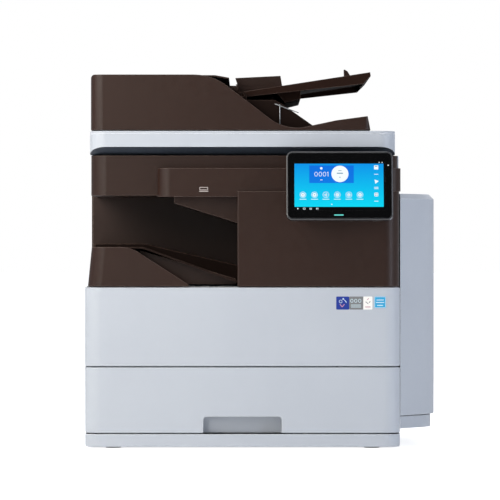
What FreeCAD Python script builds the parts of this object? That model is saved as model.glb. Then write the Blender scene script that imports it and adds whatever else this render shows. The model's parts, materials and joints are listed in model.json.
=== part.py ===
"""A floor-standing or desk-top office photocopier, modelled as its separate pieces.

Frame: +X to the machine's right, +Y to its rear, +Z up, millimetres.
Origin: the middle of the base's footprint, on the surface that the feet stand on.

Paper lies in a cassette that slides out of the front. It is picked up at the right, climbs past the
imaging drum and the fuser in the right-hand column, and leaves to the left into an open bay.
Above the bay sit a flat-bed scanner and a hinged document feeder.
"""

import FreeCAD, Part

import os
import re

import Sketcher
from FreeCAD import Rotation, Vector

# ---------------------------------------------------------------- driving dimensions

DIMENSIONS = [
    # overall body
    ("body_width", 565, "over the front covers"),
    ("body_depth", 580, "front covers to rear cover"),
    ("foot_height", 3, "rubber feet below the base"),
    ("base_height", 23, "skirt below the cassette"),
    ("seam", 2, "gap between neighbouring covers"),
    ("cassette_front_height", 117.5, "cassette front panel"),
    ("door_height", 141, "toner door"),
    ("bay_height", 163, "open paper bay"),
    ("beam_height", 71.5, "cover between bay and scanner"),
    ("scanner_height", 42, "flat-bed scanner"),
    ("feeder_height", 99, "document feeder above the scanner"),
    # walls and edges
    ("wall", 2.5, "moulded covers"),
    ("plate", 1.5, "folded steel plates"),
    ("clearance", 0.5, "between pieces that move or fit"),
    ("corner_radius", 28, "upright front corners"),
    ("rear_radius", 6, "upright rear corners"),
    ("edge_radius", 2, "front edges of covers"),
    ("front_depth", 34, "depth of the door and of the cassette front"),
    ("door_pivot", 3.5, "door hinge in from the door's inside faces"),
    ("door_lug_radius", 3.2, "round end of the lugs that hold the door"),
    ("door_top_setback", 10, "door's upper edge cut back, to swing clear of the covers above"),
    ("door_pin_radius", 2, "door hinge pins"),
    # paper bay and column
    ("bay_width", 273.5, "left side to the column"),
    ("works_depth", 130, "drive and electronics behind the rear frame"),
    ("bay_to_frame", 90, "bay's rear wall in front of the rear frame"),
    ("bay_wall_height", 70, "low wall at the front and left of the bay"),
    ("column_side_drop", 1.5, "column stands in from the right side"),
    ("slot_height", 18, "paper exit slot"),
    ("slot_top", 49.5, "exit slot below the bay's ceiling"),
    ("guide_length", 114, "sloping guide above the exit slot"),
    ("tray_high", 77, "paper tray's left end above the bay floor"),
    ("tray_low", 38, "paper tray's right end above the bay floor"),
    ("ledge_low", 9, "front ledge's right end above the bay floor"),
    ("ledge_depth", 90, "front ledge, front to back"),
    # beam and control panel
    ("beam_setback", 28, "beam behind the door's front"),
    ("beam_inset", 10, "beam in from the left side"),
    ("panel_width", 436, "control panel housing"),
    ("panel_height", 51, "control panel housing"),
    ("panel_depth", 24.5, "control panel housing"),
    ("panel_radius", 22, "control panel's rounded ends"),
    ("panel_step", 9.5, "panel's lower edge raised over the column"),
    ("tablet_width", 190, "touch screen unit"),
    ("tablet_height", 126, "touch screen unit"),
    ("tablet_thickness", 12, "touch screen unit"),
    ("tablet_radius", 11, "touch screen unit's corners"),
    ("tablet_tilt", 14, "degrees that the touch screen leans back"),
    ("tablet_right_gap", 14.5, "touch screen's right edge in from the body's right side"),
    # cassette
    ("handle_width", 141, "cassette handle recess"),
    ("handle_height", 29.5, "cassette handle recess"),
    ("handle_depth", 22, "cassette handle recess"),
    ("handle_radius", 7, "cassette handle recess's upper corners"),
    ("cassette_to_frame", 56, "paper well in front of the rear frame"),
    ("cassette_length", 467, "paper well, left to right, outside"),
    ("cassette_side", 20, "paper well in from the left side"),
    ("cassette_well", 100, "paper well's height"),
    ("paper_width", 297, "A4 paper fed long edge first"),
    ("paper_feed", 210, "A4 paper along the feed"),
    # scanner
    ("scanner_width", 548, "outside"),
    ("scanner_depth", 565, "outside"),
    ("scanner_front_inset", 10, "scanner behind the door's front"),
    ("undercut_height", 13.4, "slanting face under the scanner's front edge"),
    ("undercut_depth", 30, "slanting face under the scanner's front edge"),
    ("top_frame_height", 5, "frame round the glass"),
    ("platen_length", 430, "platen glass"),
    ("platen_width", 302, "platen glass"),
    ("strip_width", 22, "narrow glass under the document feeder"),
    ("glass", 3, "glass thickness"),
    ("glass_ledge", 4, "frame under the edge of the glass"),
    ("rail_radius", 4, "scan rail"),
    # side unit
    ("side_width", 66, "side unit beyond the body"),
    ("side_height", 399, "upper cover of the side unit"),
    ("side_foot_height", 22, "lower cover of the side unit"),
    ("side_floor_gap", 34, "side unit above the floor"),
    ("side_back", 85, "side unit's rear edge in from the rear cover"),
    ("side_slant_depth", 102, "slanting front of the side unit"),
    ("side_bend_radius", 150, "where the slant turns into the flat side"),
    ("bypass_width", 246, "bypass tray"),
    ("bypass_height", 204, "bypass tray"),
    ("bypass_thickness", 13, "bypass tray"),
    # document feeder
    ("feeder_gap", 2, "under the feeder's base"),
    ("feeder_front_depth", 28, "feeder's front cover"),
    ("feeder_rear_depth", 62, "feeder's rear cover"),
    ("feeder_length", 501.7, "feeder along the scanner"),
    ("feeder_flat", 218, "level top before the slope"),
    ("feeder_slope", 125, "sloping front edge, along X"),
    ("feeder_low_height", 3.5, "feeder's front cover at its lowest"),
    ("feeder_hump_height", 24.5, "feeder's right end"),
    ("feeder_corner", 22, "feeder's left front corner"),
    ("input_tray_length", 237, "document tray along X"),
    ("input_tray_rise", 36.5, "document tray's right end above its left"),
    ("input_tray_rim", 8, "document tray's rim"),
    ("guide_wall_height", 28, "document guide"),
    ("guide_wall_length", 76, "document guide"),
    # rollers
    ("drum_radius", 15, "imaging drum"),
    ("transfer_radius", 9, "transfer roller"),
    ("heat_radius", 15, "fuser rollers"),
    ("pickup_radius", 14, "cassette pick-up roller"),
    ("exit_radius", 8, "exit roller"),
    ("shaft_radius", 4, "roller shafts"),
    ("running_gap", 0.05, "radial gap of a shaft in its bearing hole"),
    ("nip_gap", 0.3, "gap where two rollers meet"),
]
VALUES = {alias: value for alias, value, note in DIMENSIONS}

doc = FreeCAD.newDocument("photocopier")
sheet = doc.addObject("Spreadsheet::Sheet", "Dims")
for row, (alias, value, note) in enumerate(DIMENSIONS, 1):
    sheet.set(f"A{row}", alias)
    sheet.set(f"B{row}", str(value))
    sheet.setAlias(f"B{row}", alias)
    sheet.set(f"C{row}", note)
doc.recompute()

WORD = re.compile(r"[a-z][a-z_]*")
INNERMOST = re.compile(r"\(([^()]*)\)")


def bound(text):
    """The document expression for text, with each dimension's name read from the sheet."""
    return WORD.sub(lambda w: "Dims." + w.group() if w.group() in VALUES else w.group(), text)


def worked_out(text):
    """The value of a sum without brackets."""
    return FreeCAD.Units.parseQuantity(text).Value


def number(text):
    """The value of text in millimetres, for picking edges and for starting a sketch."""
    plain = WORD.sub(lambda w: str(VALUES[w.group()]), text)
    while INNERMOST.search(plain):
        plain = INNERMOST.sub(lambda bracket: f"{worked_out(bracket.group(1)):.9f}", plain)
    return worked_out(plain)


# ---------------------------------------------------------------- modelling helpers

SUBPARTS = []


def subpart(obj, label):
    """Names obj and puts it on the list of pieces that are written out."""
    obj.Label = label
    SUBPARTS.append(obj)
    return obj


def box(name, x, y, z):
    """A block from the first to the second expression along each axis."""
    block = doc.addObject("Part::Box", name)
    for size, axis, (low, high) in (("Length", "x", x), ("Width", "y", y), ("Height", "z", z)):
        block.setExpression(size, bound(f"({high}) - ({low})"))
        block.setExpression(f"Placement.Base.{axis}", bound(low))
    return block


TURNS = {"X": Rotation(Vector(0, 1, 0), 90), "Y": Rotation(Vector(1, 0, 0), -90), "Z": Rotation()}


def rod(name, axis, radius, start, end, centre):
    """A cylinder along axis from start to end, its centre at the two other coordinates."""
    cylinder = doc.addObject("Part::Cylinder", name)
    cylinder.Placement.Rotation = TURNS[axis]
    cylinder.setExpression("Radius", bound(radius))
    cylinder.setExpression("Height", bound(f"({end}) - ({start})"))
    others = [letter for letter in "XYZ" if letter != axis]
    places = dict(zip(others, centre)) | {axis: start}
    for letter, place in places.items():
        cylinder.setExpression(f"Placement.Base.{letter.lower()}", bound(place))
    return cylinder


def cut(name, base, *tools):
    """base with the tools taken away."""
    tool = tools[0] if len(tools) == 1 else join(name + "_tools", *tools)
    result = doc.addObject("Part::Cut", name)
    result.Base = base
    result.Tool = tool
    return result


def overlap(name, first, second):
    """What the two shapes have in common."""
    result = doc.addObject("Part::Common", name)
    result.Base = first
    result.Tool = second
    return result


def join(name, *shapes):
    """The shapes as one solid."""
    result = doc.addObject("Part::MultiFuse", name)
    result.Shapes = list(shapes)
    result.Refine = True
    return result


def group(name, *shapes):
    """The shapes side by side, as separate solids of one node."""
    result = doc.addObject("Part::Compound", name)
    result.Links = list(shapes)
    return result


PLANES = {"XY": (0, 1), "XZ": (0, 2), "YZ": (1, 2)}


def outline(body, name, plane, height, points):
    """A closed sketch through points, each corner bound to the sheet, at height along the plane's normal."""
    sketch = body.newObject("Sketcher::SketchObject", name)
    origin = next(f for f in body.Origin.OriginFeatures if f.Role == plane + "_Plane")
    sketch.AttachmentSupport = [(origin, "")]
    sketch.MapMode = "FlatFace"
    sketch.setExpression("AttachmentOffset.Base.z", bound(height))
    corners = [Vector(number(u), number(v), 0) for u, v in points]
    count = len(corners)
    for i in range(count):
        sketch.addGeometry(Part.LineSegment(corners[i], corners[(i + 1) % count]), False)
    for i in range(count):
        sketch.addConstraint(Sketcher.Constraint("Coincident", i, 2, (i + 1) % count, 1))
    for i, (u, v) in enumerate(points):
        for kind, text, value in (("DistanceX", u, corners[i].x), ("DistanceY", v, corners[i].y)):
            index = sketch.addConstraint(Sketcher.Constraint(kind, -1, 1, i, 1, value))
            sketch.setExpression(f"Constraints[{index}]", bound(text))
    return sketch


def prism(name, plane, span, points, rounds=()):
    """A body made by padding an outline over span, with (corner number, radius) rounds along the pad."""
    body = doc.addObject("PartDesign::Body", name)
    start, end = span
    # The XZ plane's normal points along -Y, so that pad starts at the far end.
    height = f"-({end})" if plane == "XZ" else start
    sketch = outline(body, name + "_outline", plane, height, points)
    pad = body.newObject("PartDesign::Pad", name + "_pad")
    pad.Profile = sketch
    pad.setExpression("Length", bound(f"({end}) - ({start})"))
    doc.recompute()
    first, second = PLANES[plane]
    for corner, radius in rounds:
        u, v = (number(text) for text in points[corner])

        def stands_on_corner(edge):
            ends = [vertex.Point for vertex in edge.Vertexes]
            return all(abs(p[first] - u) < 1e-4 and abs(p[second] - v) < 1e-4 for p in ends)

        soften(body, radius, stands_on_corner)
    return body


def soften(body, radius, test, kind="Fillet"):
    """A fillet (or chamfer) on those edges of the body's tip that pass the test."""
    base = body.Tip
    names = [f"Edge{i}" for i, edge in enumerate(base.Shape.Edges, 1) if test(edge)]
    feature = body.newObject("PartDesign::" + kind, f"{body.Name}_{kind}_{len(body.Group)}")
    feature.Base = (base, names)
    feature.setExpression("Radius" if kind == "Fillet" else "Size", bound(radius))
    doc.recompute()
    return feature


def rounded_block(name, x, y, z, front=None, rear=None):
    """An upright block whose front and rear upright corners are rounded."""
    points = [(x[0], y[0]), (x[1], y[0]), (x[1], y[1]), (x[0], y[1])]
    rounds = [(0, front), (1, front)] if front else []
    rounds += [(2, rear), (3, rear)] if rear else []
    return prism(name, "XY", z, points, rounds)


def soften_level_edges(body, radius, level, rear_limit):
    """Rounds the level edges at height level that lie in front of rear_limit."""
    height, limit = number(level), number(rear_limit)

    def is_front_level_edge(edge):
        box_of_edge = edge.BoundBox
        return (
            abs(box_of_edge.ZMin - height) < 1e-4
            and abs(box_of_edge.ZMax - height) < 1e-4
            and box_of_edge.YMin < limit - 1e-4
        )

    return soften(body, radius, is_front_level_edge)


# ---------------------------------------------------------------- places that many pieces share

LEFT, RIGHT = "(-body_width / 2)", "(body_width / 2)"
FRONT, REAR = "(-body_depth / 2)", "(body_depth / 2)"
BASE_TOP = "(foot_height + base_height)"
CASSETTE_LOW = f"({BASE_TOP} + seam)"
CASSETTE_HIGH = f"({CASSETTE_LOW} + cassette_front_height)"
DOOR_LOW = f"({CASSETTE_HIGH} + seam)"
DOOR_HIGH = f"({DOOR_LOW} + door_height)"
BAY_FLOOR = f"({DOOR_HIGH} + seam)"
BAY_CEILING = f"({BAY_FLOOR} + bay_height)"
BEAM_HIGH = f"({BAY_CEILING} + beam_height)"
SCANNER_LOW = f"({BEAM_HIGH} + seam)"
SCANNER_HIGH = f"({SCANNER_LOW} + scanner_height)"
FEEDER_LOW = f"({SCANNER_HIGH} + feeder_gap)"
FEEDER_HIGH = f"({FEEDER_LOW} + feeder_height)"
BEHIND_FRONT = f"({FRONT} + front_depth)"
COVER_FRONT = f"({BEHIND_FRONT} + seam)"
COLUMN_LEFT = f"({LEFT} + bay_width)"
COLUMN_RIGHT = f"({RIGHT} - column_side_drop)"
INSIDE_REAR = f"({REAR} - wall)"
FRAME_FRONT = f"({COVER_FRONT} + 4)"
FRAME_REAR = f"({REAR} - works_depth)"
BAY_REAR = f"({FRAME_REAR} - bay_to_frame)"


# ---------------------------------------------------------------- base, side and rear covers


def make_base():
    outer = rounded_block(
        "base_outer", (LEFT, RIGHT), (FRONT, REAR), ("foot_height", BASE_TOP), "corner_radius", "rear_radius"
    )
    soften_level_edges(outer, "edge_radius * 1.5", "foot_height", REAR)
    hollow = rounded_block(
        "base_hollow",
        (f"{LEFT} + wall", f"{RIGHT} - wall"),
        (f"{FRONT} + wall", f"{REAR} - wall"),
        ("foot_height + wall", f"{BASE_TOP} + 1"),
        "corner_radius - wall",
        "rear_radius - wall",
    )
    subpart(cut("base_cover", outer, hollow), "base_cover")
    inset = "(corner_radius + 22)"
    feet = []
    for side, x in (("left", f"{LEFT} + {inset}"), ("right", f"{RIGHT} - {inset}")):
        for end, y in (("front", f"{FRONT} + {inset}"), ("rear", f"{REAR} - {inset}")):
            feet.append(rod(f"foot_{side}_{end}", "Z", "14", "0", "foot_height", (x, y)))
    subpart(group("rubber_feet", *feet), "rubber_feet")


def louvres(name, count, x, y, z, pitch, axis):
    """A row of equal slots, each one pitch further along axis."""
    slots = []
    for i in range(count):
        spans = {"X": x, "Y": y, "Z": z}
        low, high = spans[axis]
        spans[axis] = (f"{low} + {i} * ({pitch})", f"{high} + {i} * ({pitch})")
        slots.append(box(f"{name}_{i}", spans["X"], spans["Y"], spans["Z"]))
    return slots


def make_side_and_rear_covers():
    skin = (LEFT, f"{LEFT} + wall")
    panel = box("left_panel", skin, (COVER_FRONT, INSIDE_REAR), (CASSETTE_LOW, DOOR_HIGH))
    grip_radius = "(9)"
    grip_z = f"({CASSETTE_LOW} + 56)"
    grip_rod = rod(
        "left_grip_rod", "Y", grip_radius, f"{FRONT} + 175", f"{FRONT} + 315", (f"{LEFT} + 4.3", grip_z)
    )
    grip_trim = box(
        "left_grip_trim",
        (f"{LEFT} + wall", f"{LEFT} + 20"),
        (f"{FRONT} + 170", f"{FRONT} + 320"),
        (f"{grip_z} - 12", f"{grip_z} + 12"),
    )
    grip = cut("left_grip", grip_rod, grip_trim)
    cooling = louvres(
        "left_louvre",
        12,
        (f"{LEFT} - 1", f"{LEFT} + wall + 1"),
        (f"{REAR} - 190", f"{REAR} - 60"),
        (f"{DOOR_LOW} + 20", f"{DOOR_LOW} + 23"),
        "8",
        "Z",
    )
    subpart(cut("left_cover", join("left_cover_solid", panel, grip), *cooling), "left_cover")
    subpart(
        box("upper_left_cover", skin, (BAY_REAR, INSIDE_REAR), (BAY_FLOOR, BEAM_HIGH)),
        "upper_left_cover",
    )

    rear_panel = rounded_block(
        "rear_panel", (LEFT, RIGHT), (f"{REAR} - wall", REAR), (CASSETTE_LOW, BEAM_HIGH)
    )
    grille = louvres(
        "rear_louvre",
        14,
        (f"{RIGHT} - 200", f"{RIGHT} - 90"),
        (f"{REAR} - wall - 1", f"{REAR} + 1"),
        (f"{BAY_FLOOR} + 40", f"{BAY_FLOOR} + 43.5"),
        "8",
        "Z",
    )
    openings = [
        box(f"{name}_window", x, (f"{REAR} - wall - 1", f"{REAR} + 1"), z)
        for name, x, z in (("inlet", INLET_X, INLET_Z), ("socket_block", SOCKETS_X, SOCKETS_Z))
    ]
    screw_holes = [
        rod(f"screw_hole_{i}", "Y", "1.7", f"{REAR} - wall - 1", f"{REAR} + 1", place)
        for i, place in enumerate(screw_places())
    ]
    subpart(cut("rear_cover", rear_panel, *grille, *openings, *screw_holes), "rear_cover")
    screws = []
    for i, place in enumerate(screw_places()):
        head = rod(f"screw_head_{i}", "Y", "3.5", REAR, f"{REAR} + 2", place)
        shank = rod(f"screw_shank_{i}", "Y", "1.5", f"{REAR} - 8", f"{REAR} + 1", place)
        screws.append(join(f"screw_{i}", head, shank))
    subpart(group("cover_screws", *screws), "cover_screws")

    # The right cover borders the side unit at its top and rear.
    top = SIDE_HIGH + " + seam"
    points = [
        (COVER_FRONT, top),
        (f"{SIDE_REAR} + seam", top),
        (f"{SIDE_REAR} + seam", CASSETTE_LOW),
        (INSIDE_REAR, CASSETTE_LOW),
        (INSIDE_REAR, BEAM_HIGH),
        (f"{FRONT} + beam_setback + corner_radius + seam", BEAM_HIGH),
        (f"{FRONT} + beam_setback + corner_radius + seam", f"{BAY_CEILING} + panel_step"),
        (COVER_FRONT, f"{BAY_CEILING} + panel_step"),
    ]
    subpart(
        prism("right_cover", "YZ", (f"{COLUMN_RIGHT} - wall", COLUMN_RIGHT), points, ()), "right_cover"
    )


INLET_X = (f"{RIGHT} - 90", f"{RIGHT} - 60")
INLET_Z = (f"{CASSETTE_LOW} + 30", f"{CASSETTE_LOW} + 54")
SOCKETS_X = (f"{RIGHT} - 170", f"{RIGHT} - 120")
SOCKETS_Z = (f"{CASSETTE_LOW} + 120", f"{CASSETTE_LOW} + 144")


def screw_places():
    """The rear cover's screws: one by each corner and one halfway up each side."""
    heights = (f"{CASSETTE_LOW} + 12", f"{BAY_FLOOR} - 20", f"{BEAM_HIGH} - 12")
    return [(x, z) for x in (f"{LEFT} + 14", f"{RIGHT} - 14") for z in heights]


# ---------------------------------------------------------------- paper bay


def make_bay():
    slope_right = f"({COLUMN_LEFT} - 1)"
    shelf = f"({LEFT} + 104)"
    high, low, ledge = (f"({BAY_FLOOR} + {n})" for n in ("tray_high", "tray_low", "ledge_low"))
    support_front = f"({FRONT} + beam_setback + ledge_depth)"
    inner_left = f"({LEFT} + 15)"
    support_skin = [
        (inner_left, high),
        (shelf, high),
        (slope_right, low),
        (slope_right, f"{low} - wall"),
        (shelf, f"{high} - wall"),
        (inner_left, f"{high} - wall"),
    ]
    support = prism(
        "tray_support", "XZ", (support_front, BAY_REAR), support_skin, ((1, "40"), (4, "40 - wall"))
    )
    ledge_top = f"({BAY_FLOOR} + bay_wall_height)"
    ledge_skin = [
        (inner_left, ledge_top),
        (shelf, ledge_top),
        (slope_right, ledge),
        (slope_right, f"{ledge} - wall"),
        (shelf, f"{ledge_top} - wall"),
        (inner_left, f"{ledge_top} - wall"),
    ]
    front_of_ledge = f"({FRONT} + 2 * wall)"
    ledge_strip = prism(
        "tray_ledge_strip", "XZ", (front_of_ledge, support_front), ledge_skin, ((1, "40"), (4, "40 - wall"))
    )
    ledge_plan = prism(
        "tray_ledge_plan",
        "XY",
        (BAY_FLOOR, f"{ledge_top} + 1"),
        [
            (inner_left, front_of_ledge),
            (slope_right, front_of_ledge),
            (slope_right, support_front),
            (inner_left, support_front),
        ],
        ((0, "corner_radius"),),
    )
    ledge_plate = overlap("tray_ledge", ledge_strip, ledge_plan)
    # Ribs under the two plates stand on the bay floor.
    left_rib = box(
        "tray_left_rib",
        (f"{inner_left} + 20", f"{inner_left} + 20 + wall"),
        (BEHIND_FRONT, BAY_REAR),
        (BAY_FLOOR, f"{ledge_top} - wall / 2"),
    )
    riser = box(
        "tray_riser",
        (f"{inner_left} + 20", f"{inner_left} + 20 + wall"),
        (f"{support_front} - wall", BAY_REAR),
        (BAY_FLOOR, f"{high} - wall / 2"),
    )
    step_points = [
        (inner_left, f"{ledge_top} - wall"),
        (shelf, f"{ledge_top} - wall"),
        (slope_right, f"{ledge} - wall / 2"),
        (slope_right, f"{low} - wall / 2"),
        (shelf, f"{high} - wall / 2"),
        (inner_left, f"{high} - wall / 2"),
    ]
    step = prism("tray_step", "XZ", (f"{support_front} - wall", support_front), step_points)
    tray = join("output_tray", support, ledge_plate, left_rib, riser, step)
    subpart(tray, "output_tray")

    rear_wall = box(
        "bay_rear_wall",
        (f"{LEFT} + wall", f"{COLUMN_LEFT} + wall"),
        (BAY_REAR, f"{BAY_REAR} + wall"),
        (BAY_FLOOR, f"{BAY_CEILING} + 2 * wall"),
    )
    subpart(rear_wall, "bay_rear_wall")

    # The low wall in front of the tray is cut away to the right, so that a hand can reach the paper.
    wall_top = f"({BAY_FLOOR} + bay_wall_height)"
    slope_end = f"({LEFT} + 186)"
    face = [
        (f"{LEFT} + 5", BAY_FLOOR),
        (f"{slope_end}", BAY_FLOOR),
        (slope_end, f"{BAY_FLOOR} + 3"),
        (f"{LEFT} + 82", wall_top),
        (f"{LEFT} + 12", wall_top),
    ]
    front_face = prism("bay_front_face", "XZ", (FRONT, f"{FRONT} + corner_radius"), face, ((3, "60"),))

    def is_left_upright(edge):
        ends = sorted(v.Point.z for v in edge.Vertexes)
        at_front = all(abs(v.Point.y - number(FRONT)) < 1e-4 for v in edge.Vertexes)
        at_left = all(v.Point.x < number(f"{LEFT} + 13") for v in edge.Vertexes)
        return at_front and at_left and ends[-1] - ends[0] > 5

    soften(front_face, "corner_radius - wall", is_left_upright)
    face_hollow = [
        (f"{LEFT} + 5 + wall", f"{BAY_FLOOR} - 1"),
        (f"{slope_end} + 5", f"{BAY_FLOOR} - 1"),
        (f"{slope_end} + 5", f"{wall_top} + 1"),
        (f"{LEFT} + 12 + wall", f"{wall_top} + 1"),
    ]
    hollow = prism(
        "bay_front_hollow", "XZ", (f"{FRONT} + wall", f"{FRONT} + corner_radius + 1"), face_hollow
    )

    def is_hollow_left_upright(edge):
        ends = sorted(v.Point.z for v in edge.Vertexes)
        at_front = all(abs(v.Point.y - number(f"{FRONT} + wall")) < 1e-4 for v in edge.Vertexes)
        at_left = all(v.Point.x < number(f"{LEFT} + 16") for v in edge.Vertexes)
        return at_front and at_left and ends[-1] - ends[0] > 5

    soften(hollow, "corner_radius - wall * 2", is_hollow_left_upright)
    front_wall = cut("bay_front_shell", front_face, hollow)
    side_points = [
        (f"{LEFT} + 5", BAY_FLOOR),
        (f"{LEFT} + 5 + wall", BAY_FLOOR),
        (f"{LEFT} + 12 + wall", wall_top),
        (f"{LEFT} + 12", wall_top),
    ]
    side_wall = prism(
        "bay_side_wall", "XZ", (f"{FRONT} + corner_radius", BAY_REAR), side_points
    )
    subpart(join("bay_front_cover", front_wall, side_wall), "bay_front_cover")


# ---------------------------------------------------------------- column, beam and control panel


def make_column():
    column_top = f"({BAY_CEILING} + panel_step - seam - clearance)"
    outer_points = [
        (COLUMN_LEFT, FRONT),
        (COLUMN_RIGHT, FRONT),
        (COLUMN_RIGHT, BEHIND_FRONT),
        (COLUMN_LEFT, BEHIND_FRONT),
    ]
    outer_rounds = ((0, "edge_radius"), (1, "corner_radius"))
    outer = prism("column_outer", "XY", (BAY_FLOOR, column_top), outer_points, outer_rounds)
    inner_points = [
        (f"{COLUMN_LEFT} + wall", f"{FRONT} + wall"),
        (f"{COLUMN_RIGHT} - wall", f"{FRONT} + wall"),
        (f"{COLUMN_RIGHT} - wall", f"{BEHIND_FRONT} + 1"),
        (f"{COLUMN_LEFT} + wall", f"{BEHIND_FRONT} + 1"),
    ]
    inner = prism(
        "column_inner",
        "XY",
        (f"{BAY_FLOOR} - 1", f"{column_top} + 1"),
        inner_points,
        ((1, "corner_radius - wall"),),
    )
    # The returns step down behind the control panel, under the front of the beam.
    beam_relief = box(
        "column_beam_relief",
        (f"{COLUMN_LEFT} - 1", f"{COLUMN_RIGHT} + 1"),
        (f"{FRONT} + beam_setback - clearance", f"{BEHIND_FRONT} + 1"),
        (f"{BAY_CEILING} - clearance", f"{column_top} + 1"),
    )
    subpart(cut("column_front_cover", outer, inner, beam_relief), "column_front_cover")

    # Left wall of the column with the slot that the paper comes out of, and the sloping guide above it.
    slot_high = f"({BAY_CEILING} - slot_top)"
    wall_y = (BEHIND_FRONT, BAY_REAR)
    wall_x = (COLUMN_LEFT, f"{COLUMN_LEFT} + wall")
    lower = box("exit_wall_lower", wall_x, wall_y, (BAY_FLOOR, f"{slot_high} - slot_height"))
    guide_points = [
        (f"{COLUMN_LEFT} + wall", slot_high),
        (f"{COLUMN_LEFT} + wall", BAY_CEILING),
        (f"{COLUMN_LEFT} - guide_length", BAY_CEILING),
        (f"{COLUMN_LEFT} - guide_length", f"{BAY_CEILING} - 14"),
        (COLUMN_LEFT, slot_high),
    ]
    guide = prism("exit_guide", "XZ", wall_y, guide_points)
    guide_hollow_points = [
        (f"{COLUMN_LEFT} - wall", f"{slot_high} + wall + 2"),
        (f"{COLUMN_LEFT} - wall", f"{BAY_CEILING} + 1"),
        (f"{COLUMN_LEFT} - guide_length + wall", f"{BAY_CEILING} + 1"),
        (f"{COLUMN_LEFT} - guide_length + wall", f"{BAY_CEILING} - 14 + wall"),
    ]
    guide_hollow = prism(
        "exit_guide_hollow",
        "XZ",
        (f"{BEHIND_FRONT} + wall", f"{BAY_REAR} - wall"),
        guide_hollow_points,
    )
    post_front = box(
        "exit_wall_front_post",
        wall_x,
        (BEHIND_FRONT, f"{BEHIND_FRONT} + 12"),
        (f"{slot_high} - slot_height", slot_high),
    )
    post_rear = box(
        "exit_wall_rear_post",
        wall_x,
        (f"{BAY_REAR} - 12", BAY_REAR),
        (f"{slot_high} - slot_height", slot_high),
    )
    shell = cut("exit_guide_shell", guide, guide_hollow)
    subpart(join("exit_wall", lower, post_front, post_rear, shell), "exit_wall")


def make_beam_and_panel():
    beam_front = f"({FRONT} + beam_setback)"
    beam_left = f"({LEFT} + beam_inset)"
    beam_right = f"({COLUMN_RIGHT} - wall)"
    beam_z = (BAY_CEILING, BEAM_HIGH)
    beam_x, beam_y = (beam_left, beam_right), (beam_front, BAY_REAR)
    outer = rounded_block("beam_outer", beam_x, beam_y, beam_z, "corner_radius")
    inner = rounded_block(
        "beam_inner",
        (f"{beam_left} + wall", f"{beam_right} - wall"),
        (f"{beam_front} + wall", f"{BAY_REAR} + 1"),
        (f"{BAY_CEILING} + wall", f"{BEAM_HIGH} + 1"),
        "corner_radius - wall",
    )
    # The column's machinery reaches up through the beam's floor.
    well = box(
        "beam_well",
        (f"{COLUMN_LEFT} + 8", f"{beam_right} - 20"),
        (f"{beam_front} + 30", f"{BAY_REAR} + 1"),
        (f"{BAY_CEILING} - 1", f"{BAY_CEILING} + wall + 1"),
    )
    subpart(cut("upper_front_cover", outer, inner, well), "upper_front_cover")

    panel_right = f"({COLUMN_RIGHT} + 2.5)"
    panel_left = f"({panel_right} - panel_width)"
    panel_low = f"({BAY_CEILING} - 2.5)"
    panel_front = f"({beam_front} - panel_depth)"
    shell = rounded_block(
        "panel_outer",
        (panel_left, panel_right),
        (panel_front, f"{panel_front} + panel_depth"),
        (panel_low, f"{panel_low} + panel_height"),
        "panel_radius",
    )
    hollow = rounded_block(
        "panel_hollow",
        (f"{panel_left} + wall", f"{panel_right} - wall"),
        (f"{panel_front} + wall", f"{panel_front} + panel_depth + 1"),
        (f"{panel_low} + panel_step + 2 * wall", f"{panel_low} + panel_height - wall"),
        "panel_radius - wall",
    )
    step = box(
        "panel_step_cut",
        (f"{COLUMN_LEFT} - clearance", f"{panel_right} + 1"),
        (f"{panel_front} - 1", f"{panel_front} + panel_depth + 1"),
        (f"{panel_low} - 1", f"{panel_low} + panel_step"),
    )
    mount_z = TABLET_PIVOT_Z
    arm = box(
        "tablet_arm",
        (f"{TABLET_MID} - 17", f"{TABLET_MID} + 17"),
        (f"{TABLET_PIVOT_Y} + 7", f"{panel_front} + wall / 2"),
        (f"{mount_z} - 16", f"{panel_low} + panel_height"),
    )
    cheeks = []
    for side, x in (("left", f"{TABLET_MID} - 17"), ("right", f"{TABLET_MID} + 12")):
        block = box(
            f"tablet_cheek_{side}_block",
            (x, f"{x} + 5"),
            (TABLET_PIVOT_Y, f"{TABLET_PIVOT_Y} + 8"),
            (f"{mount_z} - 5", f"{mount_z} + 5"),
        )
        nose = rod(f"tablet_cheek_{side}_nose", "X", "5", x, f"{x} + 5", (TABLET_PIVOT_Y, mount_z))
        hole = rod(
            f"tablet_cheek_{side}_hole",
            "X",
            "2 + running_gap",
            f"{x} - 1",
            f"{x} + 6",
            (TABLET_PIVOT_Y, mount_z),
        )
        cheeks.append(cut(f"tablet_cheek_{side}", join(f"tablet_cheek_{side}_solid", block, nose), hole))
    housing = cut("panel_shell", shell, hollow, step)
    subpart(join("control_panel_housing", housing, arm, *cheeks), "control_panel_housing")


# ---------------------------------------------------------------- touch screen

TABLET_MID = f"({RIGHT} - tablet_right_gap - tablet_width / 2)"
PANEL_TOP = f"({BAY_CEILING} - 2.5 + panel_height)"
TABLET_PIVOT_Z = f"({PANEL_TOP} - 2)"
TABLET_PIVOT_Y = f"({FRONT} - 12)"


def lean_back(obj):
    """Tilts an upright piece about the touch screen's hinge axis."""
    axis_point = Vector(0, number(TABLET_PIVOT_Y), number(TABLET_PIVOT_Z))
    turn = Rotation(Vector(1, 0, 0), -VALUES["tablet_tilt"])
    obj.Placement = FreeCAD.Placement(Vector(), turn, axis_point).multiply(obj.Placement)


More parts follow.
